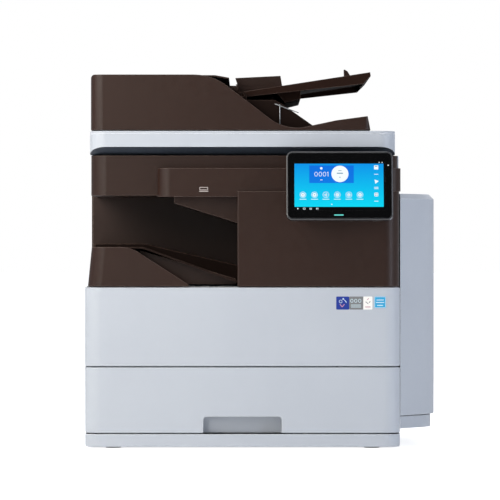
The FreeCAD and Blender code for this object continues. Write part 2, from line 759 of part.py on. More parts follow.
def make_tablet():
    top = f"({TABLET_PIVOT_Z} + 28)"
    back = f"({TABLET_PIVOT_Y} - 6)"
    x = (f"{TABLET_MID} - tablet_width / 2", f"{TABLET_MID} + tablet_width / 2")
    z = (f"{top} - tablet_height", top)
    corners = [(x[0], z[0]), (x[1], z[0]), (x[1], z[1]), (x[0], z[1])]
    rounds = [(i, "tablet_radius") for i in range(4)]
    case = prism("tablet_case_solid", "XZ", (f"{back} - tablet_thickness", back), corners, rounds)

    def is_face_rim(edge):
        faces = (number(back), number(f"{back} - tablet_thickness"))
        return any(all(abs(v.Point.y - y) < 1e-4 for v in edge.Vertexes) for y in faces)

    soften(case, "edge_radius", is_face_rim)
    rim = "(edge_radius + 1)"
    window = [
        (f"{x[0]} + {rim}", f"{z[0]} + {rim}"),
        (f"{x[1]} - {rim}", f"{z[0]} + {rim}"),
        (f"{x[1]} - {rim}", f"{z[1]} - {rim}"),
        (f"{x[0]} + {rim}", f"{z[1]} - {rim}"),
    ]
    glass_rounds = [(i, f"tablet_radius - {rim}") for i in range(4)]
    front = f"({back} - tablet_thickness)"
    seat = prism("tablet_glass_seat", "XZ", (f"{front} - 1", f"{front} + 1.2"), window, glass_rounds)
    glass = prism("tablet_glass_plate", "XZ", (f"{front} - 0.2", f"{front} + 1.2"), window, glass_rounds)
    knuckle_block = box(
        "tablet_knuckle_block",
        (f"{TABLET_MID} - 11.5", f"{TABLET_MID} + 11.5"),
        (f"{back} - 1", TABLET_PIVOT_Y),
        (f"{TABLET_PIVOT_Z} - 5", f"{TABLET_PIVOT_Z} + 5"),
    )
    place = (TABLET_PIVOT_Y, TABLET_PIVOT_Z)
    knuckle = rod("tablet_knuckle", "X", "5", f"{TABLET_MID} - 11.5", f"{TABLET_MID} + 11.5", place)
    pin = rod("tablet_pin", "X", "2", f"{TABLET_MID} - 17", f"{TABLET_MID} + 17", place)
    shell = cut("tablet_shell", case, seat)
    housing = subpart(join("tablet_housing", shell, knuckle_block, knuckle, pin), "tablet_housing")
    screen = subpart(join("tablet_glass", glass, glass_edge(front, x, z)), "tablet_glass")
    lean_back(housing)
    lean_back(screen)


def glass_edge(front, x, z):
    """A narrow raised bezel line round the display, part of the glass."""
    margin_side, margin_top, margin_low = "14", "20", "17"
    return box(
        "tablet_display_window",
        (f"{x[0]} + {margin_side}", f"{x[1]} - {margin_side}"),
        (f"{front} - 0.25", front),
        (f"{z[0]} + {margin_low}", f"{z[1]} - {margin_top}"),
    )


# ---------------------------------------------------------------- toner door


def make_front_door():
    outer = rounded_block(
        "door_outer", (LEFT, RIGHT), (FRONT, BEHIND_FRONT), (DOOR_LOW, DOOR_HIGH), "corner_radius"
    )
    soften_level_edges(outer, "edge_radius", DOOR_HIGH, BEHIND_FRONT)
    soften_level_edges(outer, "edge_radius", DOOR_LOW, BEHIND_FRONT)
    inner = rounded_block(
        "door_inner",
        (f"{LEFT} + wall", f"{RIGHT} - wall"),
        (f"{FRONT} + wall", f"{BEHIND_FRONT} + 1"),
        (f"{DOOR_LOW} + wall", f"{DOOR_HIGH} - wall"),
        "corner_radius - wall",
    )
    notches = [
        box(
            f"door_lug_notch_{i}",
            (f"{x} - 5", f"{x} + 5"),
            (f"{FRONT} + wall", f"{BEHIND_FRONT} + 1"),
            (f"{DOOR_LOW} - 1", f"{DOOR_LOW} + wall + 1"),
        )
        for i, x in enumerate(DOOR_LUG_XS)
    ]
    setback = box(
        "door_top_setback_box",
        (f"{LEFT} - 1", f"{RIGHT} + 1"),
        (f"{BEHIND_FRONT} - door_top_setback", f"{BEHIND_FRONT} + 1"),
        (f"{DOOR_HIGH} - wall - 1", f"{DOOR_HIGH} + 1"),
    )
    shell = cut("door_shell", outer, inner, setback, *notches)
    ribs = [
        box(
            f"door_rib_{i}",
            (f"{LEFT} + body_width * {i} / 6 - 1", f"{LEFT} + body_width * {i} / 6 + 1"),
            (f"{FRONT} + wall / 2", f"{FRONT} + 14"),
            (f"{DOOR_LOW} + wall / 2", f"{DOOR_HIGH} - wall / 2"),
        )
        for i in range(1, 6)
    ]
    hinge_rod = rod(
        "door_hinge_rod", "X", "door_pin_radius", f"{LEFT} + wall / 2", f"{RIGHT} - wall / 2", DOOR_PLACE
    )
    trim = rounded_block(
        "door_rod_trim",
        (f"{LEFT} + wall / 2", f"{RIGHT} - wall / 2"),
        (f"{FRONT} + wall / 2", BEHIND_FRONT),
        (DOOR_LOW, DOOR_HIGH),
        "corner_radius - wall / 2",
    )
    inner_rod = overlap("door_rod_inside", hinge_rod, trim)
    subpart(join("front_door", shell, inner_rod, *ribs), "front_door")


# ---------------------------------------------------------------- cassette

WELL_LEFT = f"({LEFT} + cassette_side)"
WELL_RIGHT = f"({WELL_LEFT} + cassette_length)"
WELL_REAR = f"({FRAME_REAR} - cassette_to_frame)"
WELL_LOW = f"({CASSETTE_LOW} + 2)"
WELL_HIGH = f"({WELL_LOW} + cassette_well)"
WELL_FLOOR = f"({WELL_LOW} + wall)"
PAPER_MID = f"(({BEHIND_FRONT} + {WELL_REAR}) / 2)"
PAPER_RIGHT = f"({WELL_RIGHT} - 10)"
LIFT_HINGE_X = f"({PAPER_RIGHT} - paper_feed + 15)"


def make_cassette():
    outer = rounded_block(
        "cassette_outer", (LEFT, RIGHT), (FRONT, BEHIND_FRONT), (CASSETTE_LOW, CASSETTE_HIGH), "corner_radius"
    )
    soften_level_edges(outer, "edge_radius", CASSETTE_HIGH, BEHIND_FRONT)
    soften_level_edges(outer, "edge_radius", CASSETTE_LOW, BEHIND_FRONT)
    inner = rounded_block(
        "cassette_inner",
        (f"{LEFT} + wall", f"{RIGHT} - wall"),
        (f"{FRONT} + wall", f"{BEHIND_FRONT} + 1"),
        (f"{CASSETTE_LOW} + wall", f"{CASSETTE_HIGH} - wall"),
        "corner_radius - wall",
    )
    shell = cut("cassette_shell", outer, inner)
    half = "handle_width / 2"
    pocket_wall = box(
        "handle_pocket",
        (f"-({half}) - wall", f"{half} + wall"),
        (f"{FRONT} + wall / 2", f"{FRONT} + handle_depth + wall"),
        (CASSETTE_LOW, f"{CASSETTE_LOW} + handle_height + wall"),
    )
    recess_points = [
        (f"-({half})", f"{CASSETTE_LOW} - 1"),
        (half, f"{CASSETTE_LOW} - 1"),
        (half, f"{CASSETTE_LOW} + handle_height"),
        (f"-({half})", f"{CASSETTE_LOW} + handle_height"),
    ]
    recess = prism(
        "handle_recess",
        "XZ",
        (f"{FRONT} - 1", f"{FRONT} + handle_depth"),
        recess_points,
        ((2, "handle_radius"), (3, "handle_radius")),
    )
    front = cut("cassette_front", join("cassette_front_solid", shell, pocket_wall), recess)
    subpart(front, "cassette_front")

    tub = box("tub_outer", (WELL_LEFT, WELL_RIGHT), (BEHIND_FRONT, WELL_REAR), (WELL_LOW, WELL_HIGH))
    well = box(
        "tub_inner",
        (f"{WELL_LEFT} + wall", f"{WELL_RIGHT} - wall"),
        (f"{BEHIND_FRONT} + wall", f"{WELL_REAR} - wall"),
        (WELL_FLOOR, f"{WELL_HIGH} + 1"),
    )
    plate_z = f"({WELL_FLOOR} + 6)"
    lift_y = (f"{PAPER_MID} - 58", f"{PAPER_MID} + 58")
    barrel_place = (LIFT_HINGE_X, f"{plate_z} - 1")
    ears = []
    for end, y in (("front", f"{lift_y[0]} - 4.5"), ("rear", f"{lift_y[1]} + 0.5")):
        ear = box(
            f"lift_ear_{end}_block",
            (f"{LIFT_HINGE_X} - 5", f"{LIFT_HINGE_X} + 5"),
            (y, f"{y} + 4"),
            (f"{WELL_FLOOR} - wall / 2", f"{plate_z} + 4"),
        )
        hole = rod(f"lift_ear_{end}_hole", "Y", "2.5 + running_gap", f"{y} - 1", f"{y} + 5", barrel_place)
        ears.append(cut(f"lift_ear_{end}", ear, hole))
    subpart(join("cassette_tray", cut("cassette_tub", tub, well), *ears), "cassette_tray")

    lift = box(
        "lift_sheet", (LIFT_HINGE_X, f"{PAPER_RIGHT} - 8"), lift_y, (f"{plate_z} - plate", plate_z)
    )
    barrel = rod("lift_barrel", "Y", "2.5", f"{lift_y[0]} - 4", f"{lift_y[1]} + 4", barrel_place)
    subpart(join("cassette_lift_plate", lift, barrel), "cassette_lift_plate")

    guide_x = (f"{PAPER_RIGHT} - paper_feed + 45", f"{PAPER_RIGHT} - 30")
    for label, sign in (("cassette_front_guide", "-"), ("cassette_rear_guide", "+")):
        near, far = f"{PAPER_MID} {sign} paper_width / 2", f"{PAPER_MID} {sign} (paper_width / 2 + wall)"
        foot_far = f"{PAPER_MID} {sign} (paper_width / 2 + 16)"
        upright_y = (far, near) if sign == "-" else (near, far)
        foot_y = (foot_far, near) if sign == "-" else (near, foot_far)
        upright = box(f"{label}_upright", guide_x, upright_y, (WELL_FLOOR, f"{WELL_HIGH} - 12"))
        foot = box(f"{label}_foot", guide_x, foot_y, (WELL_FLOOR, f"{WELL_FLOOR} + 3"))
        subpart(join(label, upright, foot), label)

    end_x = f"({PAPER_RIGHT} - paper_feed)"
    stop = box(
        "end_guide_upright",
        (f"{end_x} - wall", end_x),
        (f"{PAPER_MID} - 32", f"{PAPER_MID} + 32"),
        (WELL_FLOOR, f"{WELL_HIGH} - 14"),
    )
    stop_foot = box(
        "end_guide_foot",
        (f"{end_x} - 30", end_x),
        (f"{PAPER_MID} - 20", f"{PAPER_MID} + 20"),
        (WELL_FLOOR, f"{WELL_FLOOR} + 3"),
    )
    subpart(join("cassette_end_guide", stop, stop_foot), "cassette_end_guide")


# ---------------------------------------------------------------- scanner

SCANNER_LEFT, SCANNER_RIGHT = "(-scanner_width / 2)", "(scanner_width / 2)"
SCANNER_FRONT = f"({FRONT} + scanner_front_inset)"
SCANNER_REAR = f"({SCANNER_FRONT} + scanner_depth)"
TOP_FRAME_LOW = f"({SCANNER_HIGH} - top_frame_height)"
PLATEN_X = (f"{SCANNER_RIGHT} - 24 - platen_length", f"{SCANNER_RIGHT} - 24")
PLATEN_Y = (f"{SCANNER_FRONT} + 70", f"{SCANNER_FRONT} + 70 + platen_width")
STRIP_X = (f"{PLATEN_X[0]} - 20 - strip_width", f"{PLATEN_X[0]} - 20")
RAIL_Z = f"({SCANNER_LOW} + 14)"
RAIL_Y = f"({SCANNER_FRONT} + 225)"
HINGE_Y = f"({SCANNER_REAR} - 12)"
HINGE_Z = f"({SCANNER_HIGH} + 8)"
HINGE_XS = (("left", "-200"), ("right", "200"))


def make_scanner():
    outer = rounded_block(
        "scanner_outer",
        (SCANNER_LEFT, SCANNER_RIGHT),
        (SCANNER_FRONT, SCANNER_REAR),
        (SCANNER_LOW, TOP_FRAME_LOW),
        "corner_radius + 1",
        "rear_radius",
    )
    undercut_points = [
        (f"{SCANNER_FRONT} - 1", f"{SCANNER_LOW} - 1"),
        (f"{SCANNER_FRONT} + undercut_depth + undercut_depth / undercut_height", f"{SCANNER_LOW} - 1"),
        (
            f"{SCANNER_FRONT} - 1",
            f"{SCANNER_LOW} + undercut_height + undercut_height / undercut_depth",
        ),
    ]
    undercut = prism(
        "scanner_undercut", "YZ", (f"{SCANNER_LEFT} - 1", f"{SCANNER_RIGHT} + 1"), undercut_points
    )
    cavity_x = (f"{SCANNER_LEFT} + wall", f"{SCANNER_RIGHT} - wall")
    cavity = box(
        "scanner_cavity",
        cavity_x,
        (f"{SCANNER_FRONT} + undercut_depth + 4", f"{SCANNER_REAR} - wall"),
        (f"{SCANNER_LOW} + wall", f"{TOP_FRAME_LOW} + 1"),
    )
    nose_cavity = box(
        "scanner_nose_cavity",
        (f"{SCANNER_LEFT} + corner_radius", f"{SCANNER_RIGHT} - corner_radius"),
        (f"{SCANNER_FRONT} + wall", f"{SCANNER_FRONT} + undercut_depth + 5"),
        (f"{SCANNER_LOW} + undercut_height + 4", f"{TOP_FRAME_LOW} + 1"),
    )
    subpart(cut("scanner_housing", outer, undercut, cavity, nose_cavity), "scanner_housing")

    frame_outer = rounded_block(
        "top_frame_outer",
        (SCANNER_LEFT, SCANNER_RIGHT),
        (SCANNER_FRONT, SCANNER_REAR),
        (TOP_FRAME_LOW, SCANNER_HIGH),
        "corner_radius + 1",
        "rear_radius",
    )
    soften_level_edges(frame_outer, "edge_radius", SCANNER_HIGH, SCANNER_REAR)
    windows = []
    panes = []
    for name, (low, high) in (("platen", PLATEN_X), ("strip", STRIP_X)):
        y = PLATEN_Y
        windows.append(
            box(
                f"{name}_window",
                (f"{low} + glass_ledge", f"{high} - glass_ledge"),
                (f"{y[0]} + glass_ledge", f"{y[1]} - glass_ledge"),
                (f"{TOP_FRAME_LOW} - 1", f"{SCANNER_HIGH} + 1"),
            )
        )
        rabbet_z = (f"{SCANNER_HIGH} - glass", f"{SCANNER_HIGH} + 1")
        windows.append(box(f"{name}_rabbet", (low, high), y, rabbet_z))
        gap = "(clearance / 2)"
        panes.append(
            box(
                f"{name}_pane",
                (f"{low} + {gap}", f"{high} - {gap}"),
                (f"{y[0]} + {gap}", f"{y[1]} - {gap}"),
                (f"{SCANNER_HIGH} - glass", SCANNER_HIGH),
            )
        )
    subpart(cut("scanner_top_frame", frame_outer, *windows), "scanner_top_frame")
    subpart(group("platen_glass", *panes), "platen_glass")

    rail_ends = (cavity_x[0], cavity_x[1])
    subpart(rod("scan_rail", "X", "rail_radius", rail_ends[0], rail_ends[1], (RAIL_Y, RAIL_Z)), "scan_rail")

    # A toothed belt runs behind the carriage, round a pulley at each end.
    belt_y = (f"{PLATEN_Y[1]} + 10", f"{PLATEN_Y[1]} + 16")
    belt_z = f"({SCANNER_LOW} + 18)"
    ends = (f"({SCANNER_LEFT} + 22)", f"({SCANNER_RIGHT} - 22)")
    loops = []
    for name, radius in (("outer", "7"), ("inner", "6")):
        straight = box(
            f"belt_{name}_straight", ends, belt_y, (f"{belt_z} - {radius}", f"{belt_z} + {radius}")
        )
        rounds = [
            rod(f"belt_{name}_{i}", "Y", radius, belt_y[0], belt_y[1], (x, belt_z))
            for i, x in enumerate(ends)
        ]
        loops.append(join(f"belt_{name}", straight, *rounds))
    belt = cut("belt_loop", *loops)
    pulleys = []
    for i, x in enumerate(ends):
        wheel = rod(f"pulley_{i}_wheel", "Y", "6", belt_y[0], belt_y[1], (x, belt_z))
        axle = rod(f"pulley_{i}_axle", "Y", "2", belt_y[1], f"{belt_y[1]} + 3", (x, belt_z))
        post = box(
            f"pulley_{i}_post",
            (f"{x} - 6", f"{x} + 6"),
            (f"{belt_y[1]} + 1", f"{belt_y[1]} + 3"),
            (f"{SCANNER_LOW} + wall", f"{belt_z} + 4"),
        )
        pulleys.append(join(f"pulley_{i}", wheel, axle, post))
    subpart(group("scan_belt", belt, *pulleys), "scan_belt")

    carriage_x = (f"{STRIP_X[0]} - 6", f"{STRIP_X[1]} + 10")
    carriage_y = (f"{PLATEN_Y[0]} - 4", f"{PLATEN_Y[1]} + 4")
    carriage = box("carriage_block", carriage_x, carriage_y, (f"{SCANNER_LOW} + 5", f"{TOP_FRAME_LOW} - 3"))
    bore = rod(
        "carriage_bore",
        "X",
        "rail_radius + running_gap",
        f"{carriage_x[0]} - 1",
        f"{carriage_x[1]} + 1",
        (RAIL_Y, RAIL_Z),
    )
    lens_slot = box(
        "carriage_slot",
        (f"{carriage_x[0]} + 10", f"{carriage_x[1]} - 10"),
        (f"{carriage_y[0]} + 8", f"{carriage_y[1]} - 8"),
        (f"{TOP_FRAME_LOW} - 8", TOP_FRAME_LOW),
    )
    belt_clamp = box(
        "carriage_belt_clamp",
        (f"{carriage_x[0]} + 12", f"{carriage_x[1]} - 12"),
        (f"{carriage_y[1]} - 2", belt_y[1]),
        (f"{SCANNER_LOW} + 5", f"{belt_z} - 7.3"),
    )
    shell = cut("carriage_shell", carriage, bore, lens_slot)
    subpart(join("scan_carriage", shell, belt_clamp), "scan_carriage")

    brackets = []
    for side, x in HINGE_XS:
        foot = box(
            f"bracket_{side}_foot",
            (f"{x} - 22", f"{x} + 22"),
            (f"{HINGE_Y} - 8", f"{HINGE_Y} + 10"),
            (SCANNER_HIGH, f"{SCANNER_HIGH} + 2"),
        )
        pieces = [foot]
        for end, low in (("near", f"{x} - 22"), ("far", f"{x} + 17")):
            pieces.append(
                box(
                    f"bracket_{side}_{end}_ear",
                    (low, f"{low} + 5"),
                    (f"{HINGE_Y} - 5", f"{HINGE_Y} + 5"),
                    (f"{SCANNER_HIGH} + 1", f"{HINGE_Z} + 1"),
                )
            )
            pieces.append(rod(f"bracket_{side}_{end}_nose", "X", "5", low, f"{low} + 5", (HINGE_Y, HINGE_Z)))
        pieces.append(rod(f"bracket_{side}_pin", "X", "2.5", f"{x} - 22", f"{x} + 22", (HINGE_Y, HINGE_Z)))
        brackets.append(join(f"bracket_{side}", *pieces))
    subpart(group("hinge_brackets", *brackets), "hinge_brackets")


# ---------------------------------------------------------------- side unit with bypass tray

SIDE_NEAR = f"({RIGHT} + 1)"
SIDE_FAR = f"({SIDE_NEAR} + side_width)"
SIDE_FRONT = f"({COVER_FRONT} + 2)"
SIDE_REAR = f"({REAR} - side_back)"
SIDE_LOW = "(side_floor_gap + side_foot_height + seam)"
SIDE_HIGH = f"({SIDE_LOW} + side_height)"
BYPASS_Y = (f"({SIDE_FRONT} + 158)", f"({SIDE_FRONT} + 158 + bypass_width)")
BYPASS_LOW = f"({SIDE_LOW} + 74)"
BYPASS_PIVOT_X = f"({SIDE_FAR} - bypass_thickness / 2)"
BYPASS_PIVOT_Z = f"({BYPASS_LOW} + 6)"
BYPASS_PLACE = (BYPASS_PIVOT_X, BYPASS_PIVOT_Z)


def side_plan(inset):
    """The side unit seen from above: a slanting front that turns into the flat side."""
    return [
        (SIDE_NEAR, f"{SIDE_FRONT} + 2 * ({inset})"),
        (f"{SIDE_FAR} - ({inset})", f"{SIDE_FRONT} + side_slant_depth + ({inset}) / 3"),
        (f"{SIDE_FAR} - ({inset})", f"{SIDE_REAR} - 8 - ({inset})"),
        (f"{SIDE_FAR} - 14 - ({inset})", f"{SIDE_REAR} - ({inset})"),
        (SIDE_NEAR, f"{SIDE_REAR} - ({inset})"),
    ]


def make_side_unit():
    outer = prism(
        "side_outer", "XY", (SIDE_LOW, SIDE_HIGH), side_plan("0"), ((1, "side_bend_radius"),)
    )
    near, top = number(SIDE_NEAR), number(SIDE_HIGH)

    def is_top_rim(edge):
        at_top = all(abs(v.Point.z - top) < 1e-4 for v in edge.Vertexes)
        return at_top and not all(abs(v.Point.x - near) < 1e-4 for v in edge.Vertexes)

    soften(outer, "9", is_top_rim, "Chamfer")
    inner = prism(
        "side_inner",
        "XY",
        (f"{SIDE_LOW} + wall", f"{SIDE_HIGH} - 9 - wall"),
        side_plan("wall"),
        ((1, "side_bend_radius - wall"),),
    )
    opening = box(
        "inner_side_opening",
        (f"{SIDE_NEAR} - 1", f"{SIDE_NEAR} + 0.5"),
        (f"{SIDE_FRONT} + 8", f"{SIDE_REAR} - 8"),
        (f"{SIDE_LOW} + wall", f"{SIDE_HIGH} - 9 - wall"),
    )
    window = box(
        "bypass_window",
        (f"{SIDE_FAR} - 20", f"{SIDE_FAR} + 5"),
        (f"{BYPASS_Y[0]} - 2", f"{BYPASS_Y[1]} + 2"),
        (f"{BYPASS_LOW} - 5", f"{BYPASS_LOW} + bypass_height + 26"),
    )
    notches = side_hinge_notches("side_cover_notch")
    subpart(cut("side_outer_cover", outer, inner, opening, window, *notches), "side_outer_cover")

    skirt = prism(
        "side_lower_skirt",
        "XY",
        ("side_floor_gap", f"{SIDE_LOW} - seam"),
        side_plan("6"),
        ((1, "side_bend_radius - 6"),),
    )
    neck = prism(
        "side_lower_neck",
        "XY",
        (f"{SIDE_LOW} - seam - wall", SIDE_LOW),
        side_plan("12"),
        ((1, "side_bend_radius - 12"),),
    )
    cavity = prism(
        "side_lower_cavity",
        "XY",
        ("side_floor_gap - 1", f"{SIDE_LOW} - seam - wall"),
        side_plan("6 + wall"),
        ((1, "side_bend_radius - 6 - wall"),),
    )
    subpart(cut("side_lower_cover", join("side_lower_solid", skirt, neck), cavity), "side_lower_cover")

    frame_y = (f"{SIDE_FRONT} + 30", f"{SIDE_REAR} - wall")
    back = box(
        "side_frame_plate",
        (f"{SIDE_NEAR} + 1", f"{SIDE_NEAR} + 11"),
        frame_y,
        (f"{SIDE_LOW} + wall", f"{SIDE_HIGH} - 9 - wall"),
    )
    pocket_y = (f"{BYPASS_Y[0]} - 4", f"{BYPASS_Y[1]} + 4")
    pocket_x = (f"{SIDE_NEAR} + 10", f"{SIDE_FAR} - bypass_thickness - 3")
    above = box(
        "side_frame_above_slot",
        pocket_x,
        pocket_y,
        (f"{BYPASS_LOW} + 24", f"{BYPASS_LOW} + bypass_height + 28"),
    )
    below = box(
        "side_frame_below_slot", pocket_x, pocket_y, (f"{BYPASS_LOW} - 30", f"{BYPASS_LOW} + 9")
    )
    hollows = [
        box(
            f"side_frame_{name}_hollow",
            (f"{SIDE_NEAR} - 1", f"{pocket_x[1]} - wall"),
            (f"{pocket_y[0]} + wall", f"{pocket_y[1]} - wall"),
            (f"{BYPASS_LOW} + {low}", f"{BYPASS_LOW} + {high}"),
        )
        for name, low, high in (
            ("above", "24 + wall", "bypass_height + 28 - wall"),
            ("below", "-30 + wall", "9 - wall"),
        )
    ]
    ears = []
    for end, y in (("front", f"{BYPASS_Y[0]} - 5"), ("rear", f"{BYPASS_Y[1]} + 0.5")):
        ear = box(
            f"bypass_ear_{end}",
            (f"{pocket_x[1]} - 4", f"{SIDE_FAR} - wall - 0.2"),
            (y, f"{y} + 4.5"),
            (f"{BYPASS_PIVOT_Z} - 6", f"{BYPASS_PIVOT_Z} + 4"),
        )
        hole = rod(
            f"bypass_ear_{end}_hole", "Y", "2 + running_gap", f"{y} - 1", f"{y} + 6", BYPASS_PLACE
        )
        ears.append(cut(f"bypass_bearing_{end}", ear, hole))
    hollows.append(
        box(
            "bypass_paper_way",
            (f"{SIDE_NEAR} - 1", f"{SIDE_NEAR} + 12"),
            (f"{BYPASS_Y[0]} + 1", f"{BYPASS_Y[1]} - 1"),
            (f"{BYPASS_LOW} + 10", f"{BYPASS_LOW} + 23"),
        )
    )
    solid = join("side_frame_solid", back, above, below)
    shell = cut("side_frame_shell", solid, *hollows, *side_hinge_notches("side_frame_notch"))
    pins = [
        rod(f"side_hinge_pin_{i}", "Z", "2", f"{z} - 8", f"{z} + {LEAF} + 8", SIDE_PIVOT)
        for i, z in enumerate(SIDE_LEAF_ZS)
    ]
    subpart(join("side_inner_frame", shell, *ears, *pins), "side_inner_frame")

    tray_x = (f"{SIDE_FAR} - bypass_thickness", SIDE_FAR)
    slab = box("bypass_slab", tray_x, BYPASS_Y, (BYPASS_LOW, f"{BYPASS_LOW} + bypass_height"))
    dish = box(
        "bypass_dish",
        (f"{tray_x[0]} - 1", f"{tray_x[0]} + 5"),
        (f"{BYPASS_Y[0]} + 8", f"{BYPASS_Y[1]} - 8"),
        (f"{BYPASS_LOW} + 14", f"{BYPASS_LOW} + bypass_height + 1"),
    )
    scoop = rod(
        "bypass_scoop",
        "X",
        "30",
        f"{SIDE_FAR} - 4",
        f"{SIDE_FAR} + 1",
        (f"({BYPASS_Y[0]} + {BYPASS_Y[1]}) / 2", f"{BYPASS_LOW} + bypass_height + 12"),
    )
    pins = rod(
        "bypass_pins",
        "Y",
        "2",
        f"{BYPASS_Y[0]} - 4.5",
        f"{BYPASS_Y[1]} + 4.5",
        BYPASS_PLACE,
    )
    subpart(join("bypass_tray", cut("bypass_body", slab, dish, scoop), pins), "bypass_tray")


# ---------------------------------------------------------------- document feeder

FEEDER_LEFT = f"({SCANNER_LEFT} + 1.7)"
FEEDER_RIGHT = f"({FEEDER_LEFT} + feeder_length)"
FEEDER_FRONT = f"({SCANNER_FRONT} + 2)"
FEEDER_REAR = f"({HINGE_Y} - 11)"
COVER_BACK = f"({FEEDER_FRONT} + feeder_front_depth)"
REAR_COVER_FRONT = f"({FEEDER_REAR} - feeder_rear_depth)"
MID_Y = (f"{COVER_BACK} + clearance", f"{REAR_COVER_FRONT} - clearance")
SLOPE_TOP_X = f"({FEEDER_LEFT} + feeder_flat)"
SLOPE_LOW_X = f"({SLOPE_TOP_X} + feeder_slope)"
INPUT_LEFT = f"({SLOPE_TOP_X} + 47)"
INPUT_RIGHT = f"({INPUT_LEFT} + input_tray_length)"
INPUT_HIGH = f"({FEEDER_HIGH} + 5.5)"
INPUT_LOW = f"({INPUT_HIGH} - input_tray_rise)"
INPUT_PIVOT_X, INPUT_PIVOT_Z = f"({INPUT_LEFT} + 8)", f"({INPUT_LOW} - 5)"
INPUT_PLACE = (INPUT_PIVOT_X, INPUT_PIVOT_Z)
TOP_PIVOT_X, TOP_PIVOT_Z = f"({FEEDER_LEFT} + 6)", f"({FEEDER_LOW} + 25)"
TOP_PLACE = (TOP_PIVOT_X, TOP_PIVOT_Z)
BASE_PLATE_HIGH = f"({FEEDER_LOW} + wall)"


def feeder_profile(inset):
    """The feeder's front: a level top, an S-shaped slope and a low rising end."""
    i = f"({inset})"
    return [
        (f"{FEEDER_LEFT} + {i}", f"{FEEDER_LOW} + {i} * 0.4"),
        (f"{FEEDER_RIGHT} - {i}", f"{FEEDER_LOW} + {i} * 0.4"),
        (f"{FEEDER_RIGHT} - 5 - {i}", f"{FEEDER_LOW} + feeder_hump_height - {i}"),
        (f"{FEEDER_RIGHT} - 61", f"{FEEDER_LOW} + feeder_hump_height - 7.5 - {i}"),
        (f"{SLOPE_LOW_X} + 34", f"{FEEDER_LOW} + feeder_low_height - {i} * 0.6"),
        (f"{SLOPE_LOW_X} - {i} * 0.4", f"{FEEDER_LOW} + feeder_low_height - {i} * 0.6"),
        (f"{SLOPE_TOP_X} - {i} * 0.4", f"{FEEDER_HIGH} - {i}"),
        (f"{FEEDER_LEFT} + {i}", f"{FEEDER_HIGH} - {i}"),
    ]


